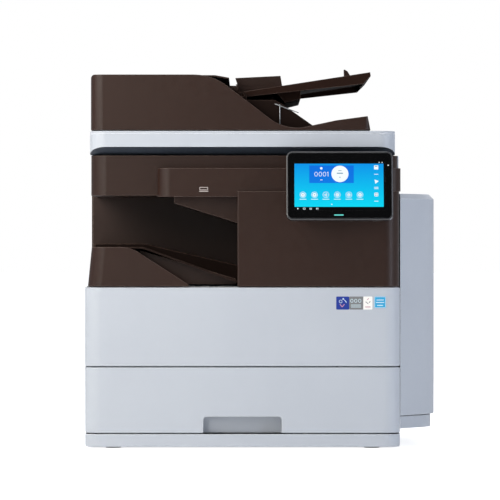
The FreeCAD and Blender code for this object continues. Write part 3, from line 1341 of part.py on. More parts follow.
def make_feeder_covers():
    rounds = ((5, "83"), (6, "100"), (7, "7"))
    profile = prism("feeder_front_profile", "XZ", (FEEDER_FRONT, COVER_BACK), feeder_profile("0"), rounds)
    plan = prism(
        "feeder_front_plan",
        "XY",
        (FEEDER_LOW, f"{FEEDER_HIGH} + 1"),
        [
            (FEEDER_LEFT, FEEDER_FRONT),
            (FEEDER_RIGHT, FEEDER_FRONT),
            (FEEDER_RIGHT, COVER_BACK),
            (FEEDER_LEFT, COVER_BACK),
        ],
        ((0, "feeder_corner"), (1, "feeder_corner / 2")),
    )
    outer = overlap("feeder_front_outer", profile, plan)
    pocket = prism(
        "feeder_front_hollow",
        "XZ",
        (f"{FEEDER_FRONT} + feeder_corner / 2", f"{COVER_BACK} + 1"),
        [
            (f"{FEEDER_LEFT} + wall + feeder_corner / 2", BASE_PLATE_HIGH),
            (f"{SLOPE_LOW_X} - 45", BASE_PLATE_HIGH),
            (f"{SLOPE_TOP_X} - 20", f"{FEEDER_HIGH} - 25"),
            (f"{SLOPE_TOP_X} - 60", f"{FEEDER_HIGH} - 4"),
            (f"{FEEDER_LEFT} + wall + feeder_corner / 2", f"{FEEDER_HIGH} - 4"),
        ],
    )
    front_pin = rod("lid_pin_front", "Y", "2", f"{COVER_BACK} - 2", f"{COVER_BACK} + 8", TOP_PLACE)
    front_shell = cut("feeder_front_shell", outer, pocket)
    subpart(join("feeder_front_cover", front_shell, front_pin), "feeder_front_cover")

    rear_points = [
        (FEEDER_LEFT, FEEDER_LOW),
        (FEEDER_RIGHT, FEEDER_LOW),
        (f"{FEEDER_RIGHT} - 5", f"{FEEDER_LOW} + feeder_hump_height"),
        (f"{FEEDER_RIGHT} - 61", f"{FEEDER_LOW} + feeder_hump_height - 7.5"),
        (f"{SLOPE_LOW_X} + 66", f"{FEEDER_LOW} + 10"),
        (f"{SLOPE_LOW_X} + 6", f"{FEEDER_LOW} + 46"),
        (f"{SLOPE_LOW_X} - 14", f"{FEEDER_HIGH} - 22"),
        (f"{SLOPE_LOW_X} - 30", f"{FEEDER_HIGH} - 2.5"),
        (FEEDER_LEFT, FEEDER_HIGH),
    ]
    rear_rounds = ((8, "7"), (4, "30"), (7, "10"))
    rear = prism("feeder_rear_outer", "XZ", (REAR_COVER_FRONT, FEEDER_REAR), rear_points, rear_rounds)
    rear_pocket = box(
        "feeder_rear_hollow",
        (f"{FEEDER_LEFT} + wall", f"{SLOPE_LOW_X} - 20"),
        (f"{REAR_COVER_FRONT} + wall", f"{FEEDER_REAR} - wall"),
        (f"{FEEDER_LOW} - 1", f"{FEEDER_HIGH} - 26"),
    )
    rear_pin = rod("lid_pin_rear", "Y", "2", f"{REAR_COVER_FRONT} - 8", f"{REAR_COVER_FRONT} + 2", TOP_PLACE)
    rear_shell = cut("feeder_rear_shell", rear, rear_pocket)
    subpart(join("feeder_rear_cover", rear_shell, rear_pin), "feeder_rear_cover")

    # The output tray is the feeder's base: level under the mechanism, rising towards its right end.
    base_points = [
        (FEEDER_LEFT, FEEDER_LOW),
        (FEEDER_RIGHT, FEEDER_LOW),
        (f"{FEEDER_RIGHT} - 5", f"{FEEDER_LOW} + feeder_hump_height - 2"),
        (f"{FEEDER_RIGHT} - 61", f"{FEEDER_LOW} + feeder_hump_height - 9.5"),
        (f"{SLOPE_LOW_X} + 80", f"{FEEDER_LOW} + 8"),
        (f"{SLOPE_LOW_X} + 65", BASE_PLATE_HIGH),
        (FEEDER_LEFT, BASE_PLATE_HIGH),
    ]
    base = prism("feeder_base_solid", "XZ", (COVER_BACK, REAR_COVER_FRONT), base_points)
    under = prism(
        "feeder_base_hollow",
        "XZ",
        (f"{MID_Y[0]} + wall", f"{MID_Y[1]} - wall"),
        [
            (f"{SLOPE_LOW_X} + 90", f"{FEEDER_LOW} + wall"),
            (f"{FEEDER_RIGHT} - 5 - wall", f"{FEEDER_LOW} + wall"),
            (f"{FEEDER_RIGHT} - 7 - wall", f"{FEEDER_LOW} + feeder_hump_height - 5.5"),
            (f"{FEEDER_RIGHT} - 61", f"{FEEDER_LOW} + feeder_hump_height - 13"),
        ],
    )
    subpart(cut("feeder_base", base, under), "feeder_base")
    subpart(
        box(
            "platen_backing",
            (f"{PLATEN_X[0]} + 2", f"{PLATEN_X[1]} - 2"),
            (f"{PLATEN_Y[0]} + 2", f"{PLATEN_Y[1]} - 2"),
            (f"{SCANNER_HIGH} + 0.3", FEEDER_LOW),
        ),
        "platen_backing",
    )


def make_feeder_mechanism():
    frame_points = [
        (f"{FEEDER_LEFT} + 17", BASE_PLATE_HIGH),
        (f"{SLOPE_LOW_X} + 64", BASE_PLATE_HIGH),
        (f"{SLOPE_LOW_X} + 2", f"{INPUT_LOW} - 22"),
        (f"{SLOPE_LOW_X} - 12", f"{INPUT_LOW} - 14"),
        (f"{FEEDER_LEFT} + 17", f"{INPUT_LOW} - 14"),
    ]
    solid = prism("feeder_frame_solid", "XZ", (COVER_BACK, REAR_COVER_FRONT), frame_points)
    hollow = prism(
        "feeder_frame_hollow",
        "XZ",
        (f"{MID_Y[0]} + wall", f"{MID_Y[1]} - wall"),
        [
            (f"{FEEDER_LEFT} + 17 + wall", f"{BASE_PLATE_HIGH} - 1"),
            (f"{SLOPE_LOW_X} + 56", f"{BASE_PLATE_HIGH} - 1"),
            (f"{SLOPE_LOW_X} - 1", f"{INPUT_LOW} - 24"),
            (f"{SLOPE_LOW_X} - 14", f"{INPUT_LOW} - 17"),
            (f"{FEEDER_LEFT} + 17 + wall", f"{INPUT_LOW} - 17"),
        ],
    )
    # Cheeks at the front and rear carry the pick-up roller's shaft.
    cheeks = []
    for end, low in (("front", COVER_BACK), ("rear", f"({REAR_COVER_FRONT} - 4)")):
        cheek = box(
            f"feeder_cheek_{end}",
            (f"{PICK_X} - 12", f"{PICK_X} + 12"),
            (low, f"{low} + 4"),
            (f"{INPUT_LOW} - 15", f"{PICK_Z} + 8"),
        )
        hole = rod(
            f"feeder_cheek_{end}_hole",
            "Y",
            "shaft_radius + running_gap",
            f"{low} - 1",
            f"{low} + 5",
            (PICK_X, PICK_Z),
        )
        cheeks.append(cut(f"feeder_bearing_{end}", cheek, hole))
    lugs = []
    for end, low in (("front", COVER_BACK), ("rear", f"({REAR_COVER_FRONT} - 6)")):
        lug = box(
            f"tray_lug_{end}_block",
            (f"{INPUT_PIVOT_X} - 7", f"{INPUT_PIVOT_X} + 7"),
            (low, f"{low} + 6"),
            (f"{INPUT_LOW} - 15", INPUT_PIVOT_Z),
        )
        nose = rod(f"tray_lug_{end}_nose", "Y", "6", low, f"{low} + 6", INPUT_PLACE)
        hole = rod(f"tray_lug_{end}_hole", "Y", "3 + running_gap", f"{low} - 1", f"{low} + 7", INPUT_PLACE)
        lugs.append(cut(f"tray_lug_{end}", join(f"tray_lug_{end}_solid", lug, nose), hole))
    block = cut("feeder_frame_shell", solid, hollow)
    subpart(join("feeder_frame", block, *cheeks, *lugs), "feeder_frame")

    shaft = rod(
        "feeder_pick_shaft", "Y", "shaft_radius", f"{MID_Y[0]} + 1", f"{MID_Y[1]} - 1", (PICK_X, PICK_Z)
    )
    mid = f"(({MID_Y[0]} + {MID_Y[1]}) / 2)"
    tyres = [
        rod(f"feeder_pick_tyre_{n}", "Y", "10", f"{mid} + {a}", f"{mid} + {a} + 24", (PICK_X, PICK_Z))
        for n, a in (("front", "-40"), ("rear", "16"))
    ]
    subpart(join("feeder_pickup_roller", shaft, *tyres), "feeder_pickup_roller")

    # The hinged top: a level lid that turns down over the feeder's left end.
    lid_points = [
        (FEEDER_LEFT, f"{TOP_PIVOT_Z} - 6"),
        (f"{FEEDER_LEFT} + wall", f"{TOP_PIVOT_Z} - 6"),
        (f"{FEEDER_LEFT} + wall", f"{FEEDER_HIGH} - wall"),
        (f"{SLOPE_TOP_X} + 4", f"{FEEDER_HIGH} - wall"),
        (f"{SLOPE_TOP_X} + 30", f"{FEEDER_HIGH} - 7"),
        (f"{SLOPE_TOP_X} + 30", f"{FEEDER_HIGH} - 4.5"),
        (f"{SLOPE_TOP_X} + 5", FEEDER_HIGH),
        (FEEDER_LEFT, FEEDER_HIGH),
    ]
    lid = prism("feeder_lid", "XZ", MID_Y, lid_points, ((7, "7"), (2, "7 - wall")))
    lugs = []
    for end, low in (("front", f"({COVER_BACK} + 1)"), ("rear", f"({REAR_COVER_FRONT} - 7)")):
        lug = box(
            f"feeder_lid_lug_{end}",
            (f"{FEEDER_LEFT} + wall / 2", TOP_PIVOT_X),
            (low, f"{low} + 6"),
            (f"{TOP_PIVOT_Z} - 4", f"{TOP_PIVOT_Z} + 12"),
        )
        eye = rod(f"feeder_lid_eye_{end}", "Y", "4", low, f"{low} + 6", TOP_PLACE)
        hole = rod(f"feeder_lid_hole_{end}", "Y", "2 + running_gap", f"{low} - 1", f"{low} + 7", TOP_PLACE)
        lugs.append(cut(f"feeder_lid_bearing_{end}", join(f"feeder_lid_lug_solid_{end}", lug, eye), hole))
    subpart(join("feeder_top_cover", lid, *lugs), "feeder_top_cover")


PICK_X, PICK_Z = f"({SLOPE_TOP_X} + 2)", f"({FEEDER_HIGH} - 25)"


def tray_top(distance):
    """The document tray's upper surface, distance along X from its left end."""
    return f"{INPUT_LOW} + ({distance}) * input_tray_rise / input_tray_length"


FIN_FROM_LEFT = "(input_tray_length - 40)"
FIN_PLACE = (f"{INPUT_LEFT} + {FIN_FROM_LEFT}", f"{tray_top(FIN_FROM_LEFT)} - 1")
FIN_Y = f"(({COVER_BACK} + {REAR_COVER_FRONT}) / 2)"


def make_document_tray():
    gap = "6.5"
    tray_y = (f"{COVER_BACK} + {gap}", f"{REAR_COVER_FRONT} - {gap}")
    rim_points = [
        (INPUT_LEFT, INPUT_LOW),
        (f"{INPUT_LEFT} + 10", f"{INPUT_LOW} - input_tray_rim"),
        (f"{INPUT_RIGHT} - 13", f"{INPUT_HIGH} - 21"),
        (f"{INPUT_RIGHT} + 1", f"{INPUT_HIGH} - 7"),
        (INPUT_RIGHT, INPUT_HIGH),
    ]
    slab = prism("input_tray_slab", "XZ", tray_y, rim_points)
    inset = "wall * 2"
    dish = prism(
        "input_tray_dish",
        "XZ",
        (f"{tray_y[0]} + {inset}", f"{tray_y[1]} - {inset}"),
        [
            (f"{INPUT_LEFT} - 2", f"{tray_top('-2')} - 4"),
            (f"{INPUT_RIGHT} - 4", f"{tray_top('input_tray_length - 4')} - 4"),
            (f"{INPUT_RIGHT} - 4", f"{INPUT_HIGH} + 20"),
            (f"{INPUT_LEFT} - 2", f"{INPUT_HIGH} + 20"),
        ],
    )
    under = prism(
        "input_tray_bracket",
        "XZ",
        (f"{tray_y[0]} + 40", f"{tray_y[1]} - 40"),
        [
            (f"{INPUT_LEFT} + 66", f"{tray_top('66')} - 6"),
            (f"{INPUT_LEFT} + 84", f"{INPUT_LOW} - 17"),
            (f"{INPUT_LEFT} + 112", f"{INPUT_LOW} - 10"),
            (f"{INPUT_LEFT} + 112", f"{tray_top('112')} - 6"),
        ],
    )
    pins = [
        rod("input_tray_pin_front", "Y", "3", f"{COVER_BACK} + 1", f"{tray_y[0]} + 4", INPUT_PLACE),
        rod("input_tray_pin_rear", "Y", "3", f"{tray_y[1]} - 4", f"{REAR_COVER_FRONT} - 1", INPUT_PLACE),
    ]
    hollow = prism(
        "input_tray_hollow",
        "XZ",
        (f"{tray_y[0]} + {inset}", f"{tray_y[1]} - {inset}"),
        [
            (f"{INPUT_LEFT} + 20", f"{INPUT_LOW} - 20"),
            (f"{INPUT_RIGHT} - 14", f"{INPUT_HIGH} - 40"),
            (f"{INPUT_RIGHT} - 10", f"{tray_top('input_tray_length - 10')} - 4 - wall"),
            (f"{INPUT_LEFT} + 20", f"{tray_top('20')} - 4 - wall"),
        ],
    )
    shell = cut("input_tray_shell", slab, dish, hollow)
    stop_ears = []
    for end, y in (("front", f"{FIN_Y} - 15.5"), ("rear", f"{FIN_Y} + 12")):
        ear = box(
            f"stop_ear_{end}_block",
            (f"{FIN_PLACE[0]} - 3", f"{FIN_PLACE[0]} + 3"),
            (y, f"{y} + 3.5"),
            (f"{FIN_PLACE[1]} - 4.5", f"{FIN_PLACE[1]} + 2.5"),
        )
        hole = rod(f"stop_ear_{end}_hole", "Y", "1.5 + running_gap", f"{y} - 1", f"{y} + 5", FIN_PLACE)
        stop_ears.append(cut(f"stop_ear_{end}", ear, hole))
    tray = join("input_tray", shell, under, *pins, *stop_ears)
    subpart(tray, "feeder_input_tray")

    middle = f"(({tray_y[0]} + {tray_y[1]}) / 2)"
    for label, sign in (("feeder_front_guide", "-"), ("feeder_rear_guide", "+")):
        near = f"{middle} {sign} paper_width / 2"
        far = f"{middle} {sign} (paper_width / 2 + 3)"
        foot = f"{middle} {sign} (paper_width / 2 - 30)"
        wall_y = (far, near) if sign == "-" else (near, far)
        foot_y = (near, foot) if sign == "-" else (foot, near)
        start, stop = "4", "4 + guide_wall_length"
        rest = "- 4 + 0.3"
        upright = prism(
            f"{label}_upright",
            "XZ",
            wall_y,
            [
                (f"{INPUT_LEFT} + {start}", f"{tray_top(start)} {rest}"),
                (f"{INPUT_LEFT} + {stop}", f"{tray_top(stop)} {rest}"),
                (f"{INPUT_LEFT} + {stop} - 4", f"{tray_top(start)} + guide_wall_height + 4"),
                (f"{INPUT_LEFT} - 6", f"{tray_top(start)} + guide_wall_height"),
            ],
        )
        sole = prism(
            f"{label}_sole",
            "XZ",
            foot_y,
            [
                (f"{INPUT_LEFT} + {start}", f"{tray_top(start)} {rest}"),
                (f"{INPUT_LEFT} + {stop}", f"{tray_top(stop)} {rest}"),
                (f"{INPUT_LEFT} + {stop}", f"{tray_top(stop)} {rest} + 2"),
                (f"{INPUT_LEFT} + {start}", f"{tray_top(start)} {rest} + 2"),
            ],
        )
        subpart(join(label, upright, sole), label)

    # A small fin stops long originals from sliding off the end.
    fin = prism(
        "stopper_fin",
        "XZ",
        (f"{FIN_Y} - 11", f"{FIN_Y} + 11"),
        [
            (f"{FIN_PLACE[0]} - 2.2", f"{FIN_PLACE[1]} - 1.8"),
            (f"{FIN_PLACE[0]} + 11.5", FIN_PLACE[1]),
            (f"{FIN_PLACE[0]} + 9.5", f"{FIN_PLACE[1]} + 8"),
            (f"{FIN_PLACE[0]} + 4", f"{FIN_PLACE[1]} + 17"),
            (f"{FIN_PLACE[0]} - 1", f"{FIN_PLACE[1]} + 20.5"),
            (f"{FIN_PLACE[0]} - 3", f"{FIN_PLACE[1]} + 20"),
        ],
    )
    fin_pin = rod("stopper_pin", "Y", "1.5", f"{FIN_Y} - 15", f"{FIN_Y} + 15", FIN_PLACE)
    subpart(join("feeder_stopper", fin, fin_pin), "feeder_stopper")

    arms = []
    for side, x in HINGE_XS:
        span = (f"{x} - 16", f"{x} + 16")
        arm = box(
            f"arm_{side}_block",
            span,
            (f"{FEEDER_REAR}", HINGE_Y),
            (f"{HINGE_Z} - 5", f"{HINGE_Z} + 5"),
        )
        knuckle = rod(f"arm_{side}_knuckle", "X", "5", span[0], span[1], (HINGE_Y, HINGE_Z))
        bore = rod(
            f"arm_{side}_bore",
            "X",
            "2.5 + running_gap",
            f"{x} - 20",
            f"{x} + 20",
            (HINGE_Y, HINGE_Z),
        )
        arms.append(cut(f"arm_{side}", join(f"arm_{side}_solid", arm, knuckle), bore))
    subpart(group("hinge_arms", *arms), "hinge_arms")


# ---------------------------------------------------------------- frames, rollers and works

# name, distance in from the right side, height, roller radius
DRUM_INSET, HEAT_INSET = "66.5", "69.5"
DRUM_Z, HEAT_Z = f"({DOOR_LOW} + 97.5)", f"({BAY_FLOOR} + 45)"
TRANSFER_INSET = f"({DRUM_INSET} - drum_radius - transfer_radius - nip_gap)"
PRESSURE_INSET = f"({HEAT_INSET} - 2 * heat_radius - nip_gap)"
SHAFTS = [
    ("pickup_roller", "112.5", f"({WELL_HIGH} + 5 + pickup_radius)", "pickup_radius"),
    ("opc_drum", DRUM_INSET, DRUM_Z, "drum_radius"),
    ("transfer_roller", TRANSFER_INSET, DRUM_Z, "transfer_radius"),
    ("heat_roller", HEAT_INSET, HEAT_Z, "heat_radius"),
    ("pressure_roller", PRESSURE_INSET, HEAT_Z, "heat_radius"),
]
EXIT_PLACE = (f"{COLUMN_LEFT} + wall + 4 + exit_radius", f"{BAY_CEILING} - slot_top - slot_height / 2")


def shaft_places():
    """Each roller's name, centre and radius."""
    places = [(name, (f"{RIGHT} - {inset}", z), radius) for name, inset, z, radius in SHAFTS]
    return places + [("exit_roller", EXIT_PLACE, "exit_radius")]


DOOR_LUG_XS = (f"{LEFT} + 60", f"{RIGHT} - 60")
DOOR_PLACE = (f"({FRONT} + wall + door_pivot)", f"({DOOR_LOW} + wall + door_pivot)")


def door_lugs():
    """Two lugs on the front frame that the door's hinge rod turns in."""
    lugs = []
    for i, x in enumerate(DOOR_LUG_XS):
        arm = box(
            f"door_lug_{i}_arm",
            (f"{x} - 3", f"{x} + 3"),
            (DOOR_PLACE[0], FRAME_FRONT),
            (f"{DOOR_PLACE[1]} - door_lug_radius", f"{DOOR_PLACE[1]} + door_lug_radius"),
        )
        nose = rod(f"door_lug_{i}_nose", "X", "door_lug_radius", f"{x} - 3", f"{x} + 3", DOOR_PLACE)
        hole = rod(
            f"door_lug_{i}_hole", "X", "door_pin_radius + running_gap", f"{x} - 4", f"{x} + 4", DOOR_PLACE
        )
        lugs.append(cut(f"door_lug_{i}", join(f"door_lug_{i}_solid", arm, nose), hole))
    return lugs


SIDE_PIVOT = (f"{SIDE_NEAR} + 3", f"{SIDE_REAR} - 8")
SIDE_LEAF_ZS = (f"{SIDE_LOW} + 40", f"{SIDE_HIGH} - 60")
LEAF = "4"


def side_hinge_leaves():
    """Two leaves on the rear frame that hold the side unit's hinge pins."""
    leaves = []
    for i, z in enumerate(SIDE_LEAF_ZS):
        span = (z, f"{z} + {LEAF}")
        strip = box(
            f"side_leaf_{i}_strip",
            (f"{SIDE_PIVOT[0]} - 20", f"{SIDE_PIVOT[0]} + 3.5"),
            (f"{FRAME_REAR} + plate", SIDE_PIVOT[1]),
            span,
        )
        nose = rod(f"side_leaf_{i}_nose", "Z", "3.5", span[0], span[1], SIDE_PIVOT)
        hole = rod(
            f"side_leaf_{i}_hole", "Z", "2 + running_gap", f"{z} - 1", f"{z} + {LEAF} + 1", SIDE_PIVOT
        )
        leaves.append(cut(f"side_leaf_{i}", join(f"side_leaf_{i}_solid", strip, nose), hole))
    return leaves


def side_hinge_notches(name):
    """Room round the hinge leaves in whatever swings past them."""
    return [
        box(
            f"{name}_{i}",
            (f"{SIDE_NEAR} - 1", f"{SIDE_NEAR} + 13"),
            (f"{FRAME_REAR} - 12", f"{SIDE_REAR} + 1"),
            (f"{z} - 1", f"{z} + {LEAF} + 1"),
        )
        for i, z in enumerate(SIDE_LEAF_ZS)
    ]


def make_frames_and_rollers():
    cassette_clear = f"({WELL_HIGH} + 2)"
    inner_right = f"({COLUMN_RIGHT} - wall)"
    column_edge = f"({COLUMN_LEFT} + wall)"
    frame_points = [
        (f"{LEFT} + wall", cassette_clear),
        (inner_right, cassette_clear),
        (inner_right, BAY_CEILING),
        (column_edge, BAY_CEILING),
        (column_edge, BAY_FLOOR),
        (f"{LEFT} + wall", BAY_FLOOR),
    ]
    for label, y, points in (
        ("front_frame", (FRAME_FRONT, f"{FRAME_FRONT} + plate"), frame_points),
        (
            "rear_frame",
            (FRAME_REAR, f"{FRAME_REAR} + plate"),
            [
                (f"{LEFT} + wall", "foot_height + wall"),
                (inner_right, "foot_height + wall"),
                (inner_right, SCANNER_LOW),
                (f"{LEFT} + wall", SCANNER_LOW),
            ],
        ),
    ):
        sheet_plate = prism(label + "_sheet", "XZ", y, points)
        holes = [
            rod(
                f"{label}_hole_{name}",
                "Y",
                "shaft_radius + running_gap",
                f"{y[0]} - 1",
                f"{y[1]} + 1",
                place,
            )
            for name, place, radius in shaft_places()
        ]
        if label == "front_frame":
            holes.append(
                box("toner_port", TONER_X, (f"{y[0]} - 1", f"{y[1]} + 1"), (f"{TONER_Z[0]}", f"{TONER_Z[1]}"))
            )
        plate_with_holes = cut(label + "_plate", sheet_plate, *holes)
        hinges = door_lugs() if label == "front_frame" else side_hinge_leaves()
        subpart(join(label, plate_with_holes, *hinges), label)

    for name, place, radius in shaft_places():
        shaft = rod(
            f"{name}_shaft", "Y", "shaft_radius", f"{FRAME_FRONT} - 1", f"{FRAME_REAR} + plate + 1", place
        )
        if name in ("pickup_roller", "exit_roller"):
            width = "22" if name == "pickup_roller" else "16"
            offsets = ("-30", "8") if name == "pickup_roller" else ("-120", "-45", "29", "104")
            rings = [
                rod(
                    f"{name}_tyre_{i}",
                    "Y",
                    radius,
                    f"{PAPER_MID} + {low}",
                    f"{PAPER_MID} + {low} + {width}",
                    place,
                )
                for i, low in enumerate(offsets)
            ]
        else:
            rings = [
                rod(f"{name}_sleeve", "Y", radius, f"{PAPER_MID} - 160", f"{PAPER_MID} + 160", place)
            ]
        subpart(join(name, shaft, *rings), name)


TONER_X = (f"{RIGHT} - 212", f"{RIGHT} - 108")
TONER_Z = (f"({DOOR_LOW} + 24)", f"({DOOR_LOW} + 128)")


def make_works():
    gap = "clearance"
    toner = rounded_block(
        "toner_block",
        (f"{TONER_X[0]} + {gap}", f"{TONER_X[1]} - {gap}"),
        (f"{FRAME_FRONT} - 2", f"{BAY_REAR} + 60"),
        (TONER_Z[0], f"{TONER_Z[1]} - {gap}"),
    )
    grip = box(
        "toner_grip",
        (f"({TONER_X[0]} + {TONER_X[1]}) / 2 - 30", f"({TONER_X[0]} + {TONER_X[1]}) / 2 + 30"),
        (f"{FRAME_FRONT} - 12", f"{FRAME_FRONT} - 1"),
        (f"{TONER_Z[0]} + 40", f"{TONER_Z[0]} + 56"),
    )
    hollow = box(
        "toner_hopper",
        (f"{TONER_X[0]} + {gap} + wall", f"{TONER_X[1]} - {gap} - wall"),
        (f"{FRAME_FRONT} + wall", f"{BAY_REAR} + 60 - wall"),
        (f"{TONER_Z[0]} + {gap} + wall", f"{TONER_Z[1]} - {gap} - wall"),
    )
    fill_hole = rod(
        "toner_fill_hole",
        "X",
        "12",
        f"{TONER_X[1]} - 10",
        f"{TONER_X[1]} + 5",
        (PAPER_MID, f"{TONER_Z[0]} + 20"),
    )
    toner_solid = join("toner_solid", toner, grip)
    subpart(cut("toner_cartridge", toner_solid, hollow, fill_hole), "toner_cartridge")

    laser = box(
        "laser_case",
        (f"{LEFT} + 112", f"{TONER_X[0]} - 40"),
        (f"{PAPER_MID} - 115", f"{PAPER_MID} + 175"),
        (f"{DOOR_LOW} + 34", f"{DOOR_LOW} + 104"),
    )
    mirror_well = box(
        "laser_well",
        (f"{LEFT} + 112 + wall", f"{TONER_X[0]} - 40 - wall"),
        (f"{PAPER_MID} - 115 + wall", f"{PAPER_MID} + 175 - wall"),
        (f"{DOOR_LOW} + 34 - 1", f"{DOOR_LOW} + 104 - wall"),
    )
    shelf = box(
        "laser_shelf",
        (f"{LEFT} + 112", f"{TONER_X[0]} - 40"),
        (f"{FRAME_FRONT} + plate", FRAME_REAR),
        (f"{DOOR_LOW} + 34 - plate", f"{DOOR_LOW} + 34"),
    )
    subpart(join("laser_unit", cut("laser_shell", laser, mirror_well), shelf), "laser_unit")

    fuser_x = (f"{RIGHT} - 96", f"{RIGHT} - 11")
    fuser_y = (f"{FRAME_FRONT} + plate", FRAME_REAR)
    fuser_z = (f"{BAY_FLOOR} + 18", f"{BAY_FLOOR} + 72")
    case = box("fuser_case", fuser_x, fuser_y, fuser_z)
    chamber = box(
        "fuser_chamber",
        (f"{fuser_x[0]} + wall", f"{fuser_x[1]} - wall"),
        (f"{fuser_y[0]} - 1", f"{fuser_y[1]} + 1"),
        (f"{fuser_z[0]} + wall", f"{fuser_z[1]} - wall"),
    )
    nip = f"({RIGHT} - 69.5 + heat_radius)"
    paper_way = box(
        "fuser_paper_way",
        (f"{nip} - 7", f"{nip} + 7"),
        (f"{PAPER_MID} - 155", f"{PAPER_MID} + 155"),
        (f"{fuser_z[0]} - 1", f"{fuser_z[1]} + 1"),
    )
    subpart(cut("fuser_housing", case, chamber, paper_way), "fuser_housing")

    motor_place = (f"{RIGHT} - 140", f"{DOOR_LOW} + 97.5")
    motor_y = f"({FRAME_REAR} + plate)"
    can = rod("motor_can", "Y", "30", f"{motor_y} + 3", f"{motor_y} + 45", motor_place)
    flange = rod("motor_flange", "Y", "38", motor_y, f"{motor_y} + 3", motor_place)
    subpart(join("main_motor", flange, can), "main_motor")

    main_board = join(
        "main_board",
        box(
            "main_board_card",
            (f"{LEFT} + 30", f"{LEFT} + 300"),
            (f"{FRAME_REAR} + 60", f"{FRAME_REAR} + 61.6"),
            (f"{BAY_FLOOR} - 60", f"{BAY_FLOOR} + 130"),
        ),
        box(
            "main_board_heat_sink",
            (f"{LEFT} + 140", f"{LEFT} + 180"),
            (f"{FRAME_REAR} + 61", f"{FRAME_REAR} + 73"),
            (f"{BAY_FLOOR} + 20", f"{BAY_FLOOR} + 60"),
        ),
    )
    supply = join(
        "supply",
        box(
            "supply_card",
            (f"{LEFT} + 30", f"{LEFT} + 230"),
            (f"{FRAME_REAR} + 40", f"{FRAME_REAR} + 41.6"),
            (f"{CASSETTE_LOW} + 30", f"{CASSETTE_LOW} + 130"),
        ),
        box(
            "supply_transformer",
            (f"{LEFT} + 90", f"{LEFT} + 130"),
            (f"{FRAME_REAR} + 41", f"{FRAME_REAR} + 75"),
            (f"{CASSETTE_LOW} + 60", f"{CASSETTE_LOW} + 100"),
        ),
        rod(
            "supply_capacitor",
            "Y",
            "12",
            f"{FRAME_REAR} + 41",
            f"{FRAME_REAR} + 76",
            (f"{LEFT} + 170", f"{CASSETTE_LOW} + 80"),
        ),
    )
    cards = []
    for name, board, x, z, y in (
        (
            "main",
            main_board,
            (f"{LEFT} + 38", f"{LEFT} + 292"),
            (f"{BAY_FLOOR} - 52", f"{BAY_FLOOR} + 122"),
            f"{FRAME_REAR} + 60",
        ),
        (
            "supply",
            supply,
            (f"{LEFT} + 38", f"{LEFT} + 222"),
            (f"{CASSETTE_LOW} + 38", f"{CASSETTE_LOW} + 122"),
            f"{FRAME_REAR} + 40",
        ),
    ):
        spacers = [
            rod(f"{name}_spacer_{i}_{k}", "Y", "3", f"{FRAME_REAR} + plate", f"{y} + 0.5", (px, pz))
            for i, px in enumerate(x)
            for k, pz in enumerate(z)
        ]
        cards.append(join(f"{name}_board_on_spacers", board, *spacers))
    subpart(group("circuit_boards", *cards), "circuit_boards")

    socket_y = (f"{REAR} - 26", f"{REAR} - 0.5")
    gap = "0.3"

    def block_in_window(name, x, z):
        block = box(
            name + "_body",
            (f"{x[0]} + {gap}", f"{x[1]} - {gap}"),
            socket_y,
            (f"{z[0]} + {gap}", f"{z[1]} - {gap}"),
        )
        flange = box(
            name + "_flange",
            (f"{x[0]} - 3", f"{x[1]} + 3"),
            (f"{INSIDE_REAR} - 2", INSIDE_REAR),
            (f"{z[0]} - 3", f"{z[1]} + 3"),
        )
        return join(name, block, flange)

    inlet = cut(
        "power_inlet",
        block_in_window("inlet_block", INLET_X, INLET_Z),
        box(
            "inlet_cavity",
            (f"{INLET_X[0]} + 3", f"{INLET_X[1]} - 3"),
            (f"{REAR} - 17", f"{REAR} + 1"),
            (f"{INLET_Z[0]} + 4", f"{INLET_Z[1]} - 4"),
        ),
    )
    inlet_x = f"(({INLET_X[0]} + {INLET_X[1]}) / 2)"
    inlet_z = f"(({INLET_Z[0]} + {INLET_Z[1]}) / 2)"
    blades = [
        box(
            f"inlet_blade_{i}",
            (f"{inlet_x} + {i} * 7 - 1", f"{inlet_x} + {i} * 7 + 1"),
            (f"{REAR} - 18", f"{REAR} - 4"),
            (f"{inlet_z} - 2", f"{inlet_z} + 2"),
        )
        for i in (-1, 0, 1)
    ]
    network = cut(
        "socket_block",
        block_in_window("socket_block_solid", SOCKETS_X, SOCKETS_Z),
        box(
            "network_cavity",
            (f"{SOCKETS_X[0]} + 6", f"{SOCKETS_X[0]} + 18"),
            (f"{REAR} - 15", f"{REAR} + 1"),
            (f"{SOCKETS_Z[0]} + 8", f"{SOCKETS_Z[0]} + 16.5"),
        ),
        box(
            "usb_cavity",
            (f"{SOCKETS_X[1]} - 18", f"{SOCKETS_X[1]} - 6"),
            (f"{REAR} - 15", f"{REAR} + 1"),
            (f"{SOCKETS_Z[0]} + 7", f"{SOCKETS_Z[0]} + 18"),
        ),
    )
    subpart(group("rear_connectors", join("inlet_with_blades", inlet, *blades), network), "rear_connectors")


# ---------------------------------------------------------------- build, check and write

make_base()
make_side_and_rear_covers()
make_bay()
make_column()
make_beam_and_panel()
make_tablet()
make_front_door()
make_cassette()
make_scanner()
make_side_unit()
make_feeder_covers()
make_feeder_mechanism()
make_document_tray()
make_frames_and_rollers()
make_works()
doc.recompute()

for obj in doc.Objects:
    if "Invalid" in obj.State or "Error" in obj.State:
        raise RuntimeError(f"{obj.Label} did not build: {obj.State}")
for obj in SUBPARTS:
    if obj.Shape.isNull() or not obj.Shape.isValid() or not obj.Shape.Solids:
        raise RuntimeError(f"{obj.Label} is not a valid solid")

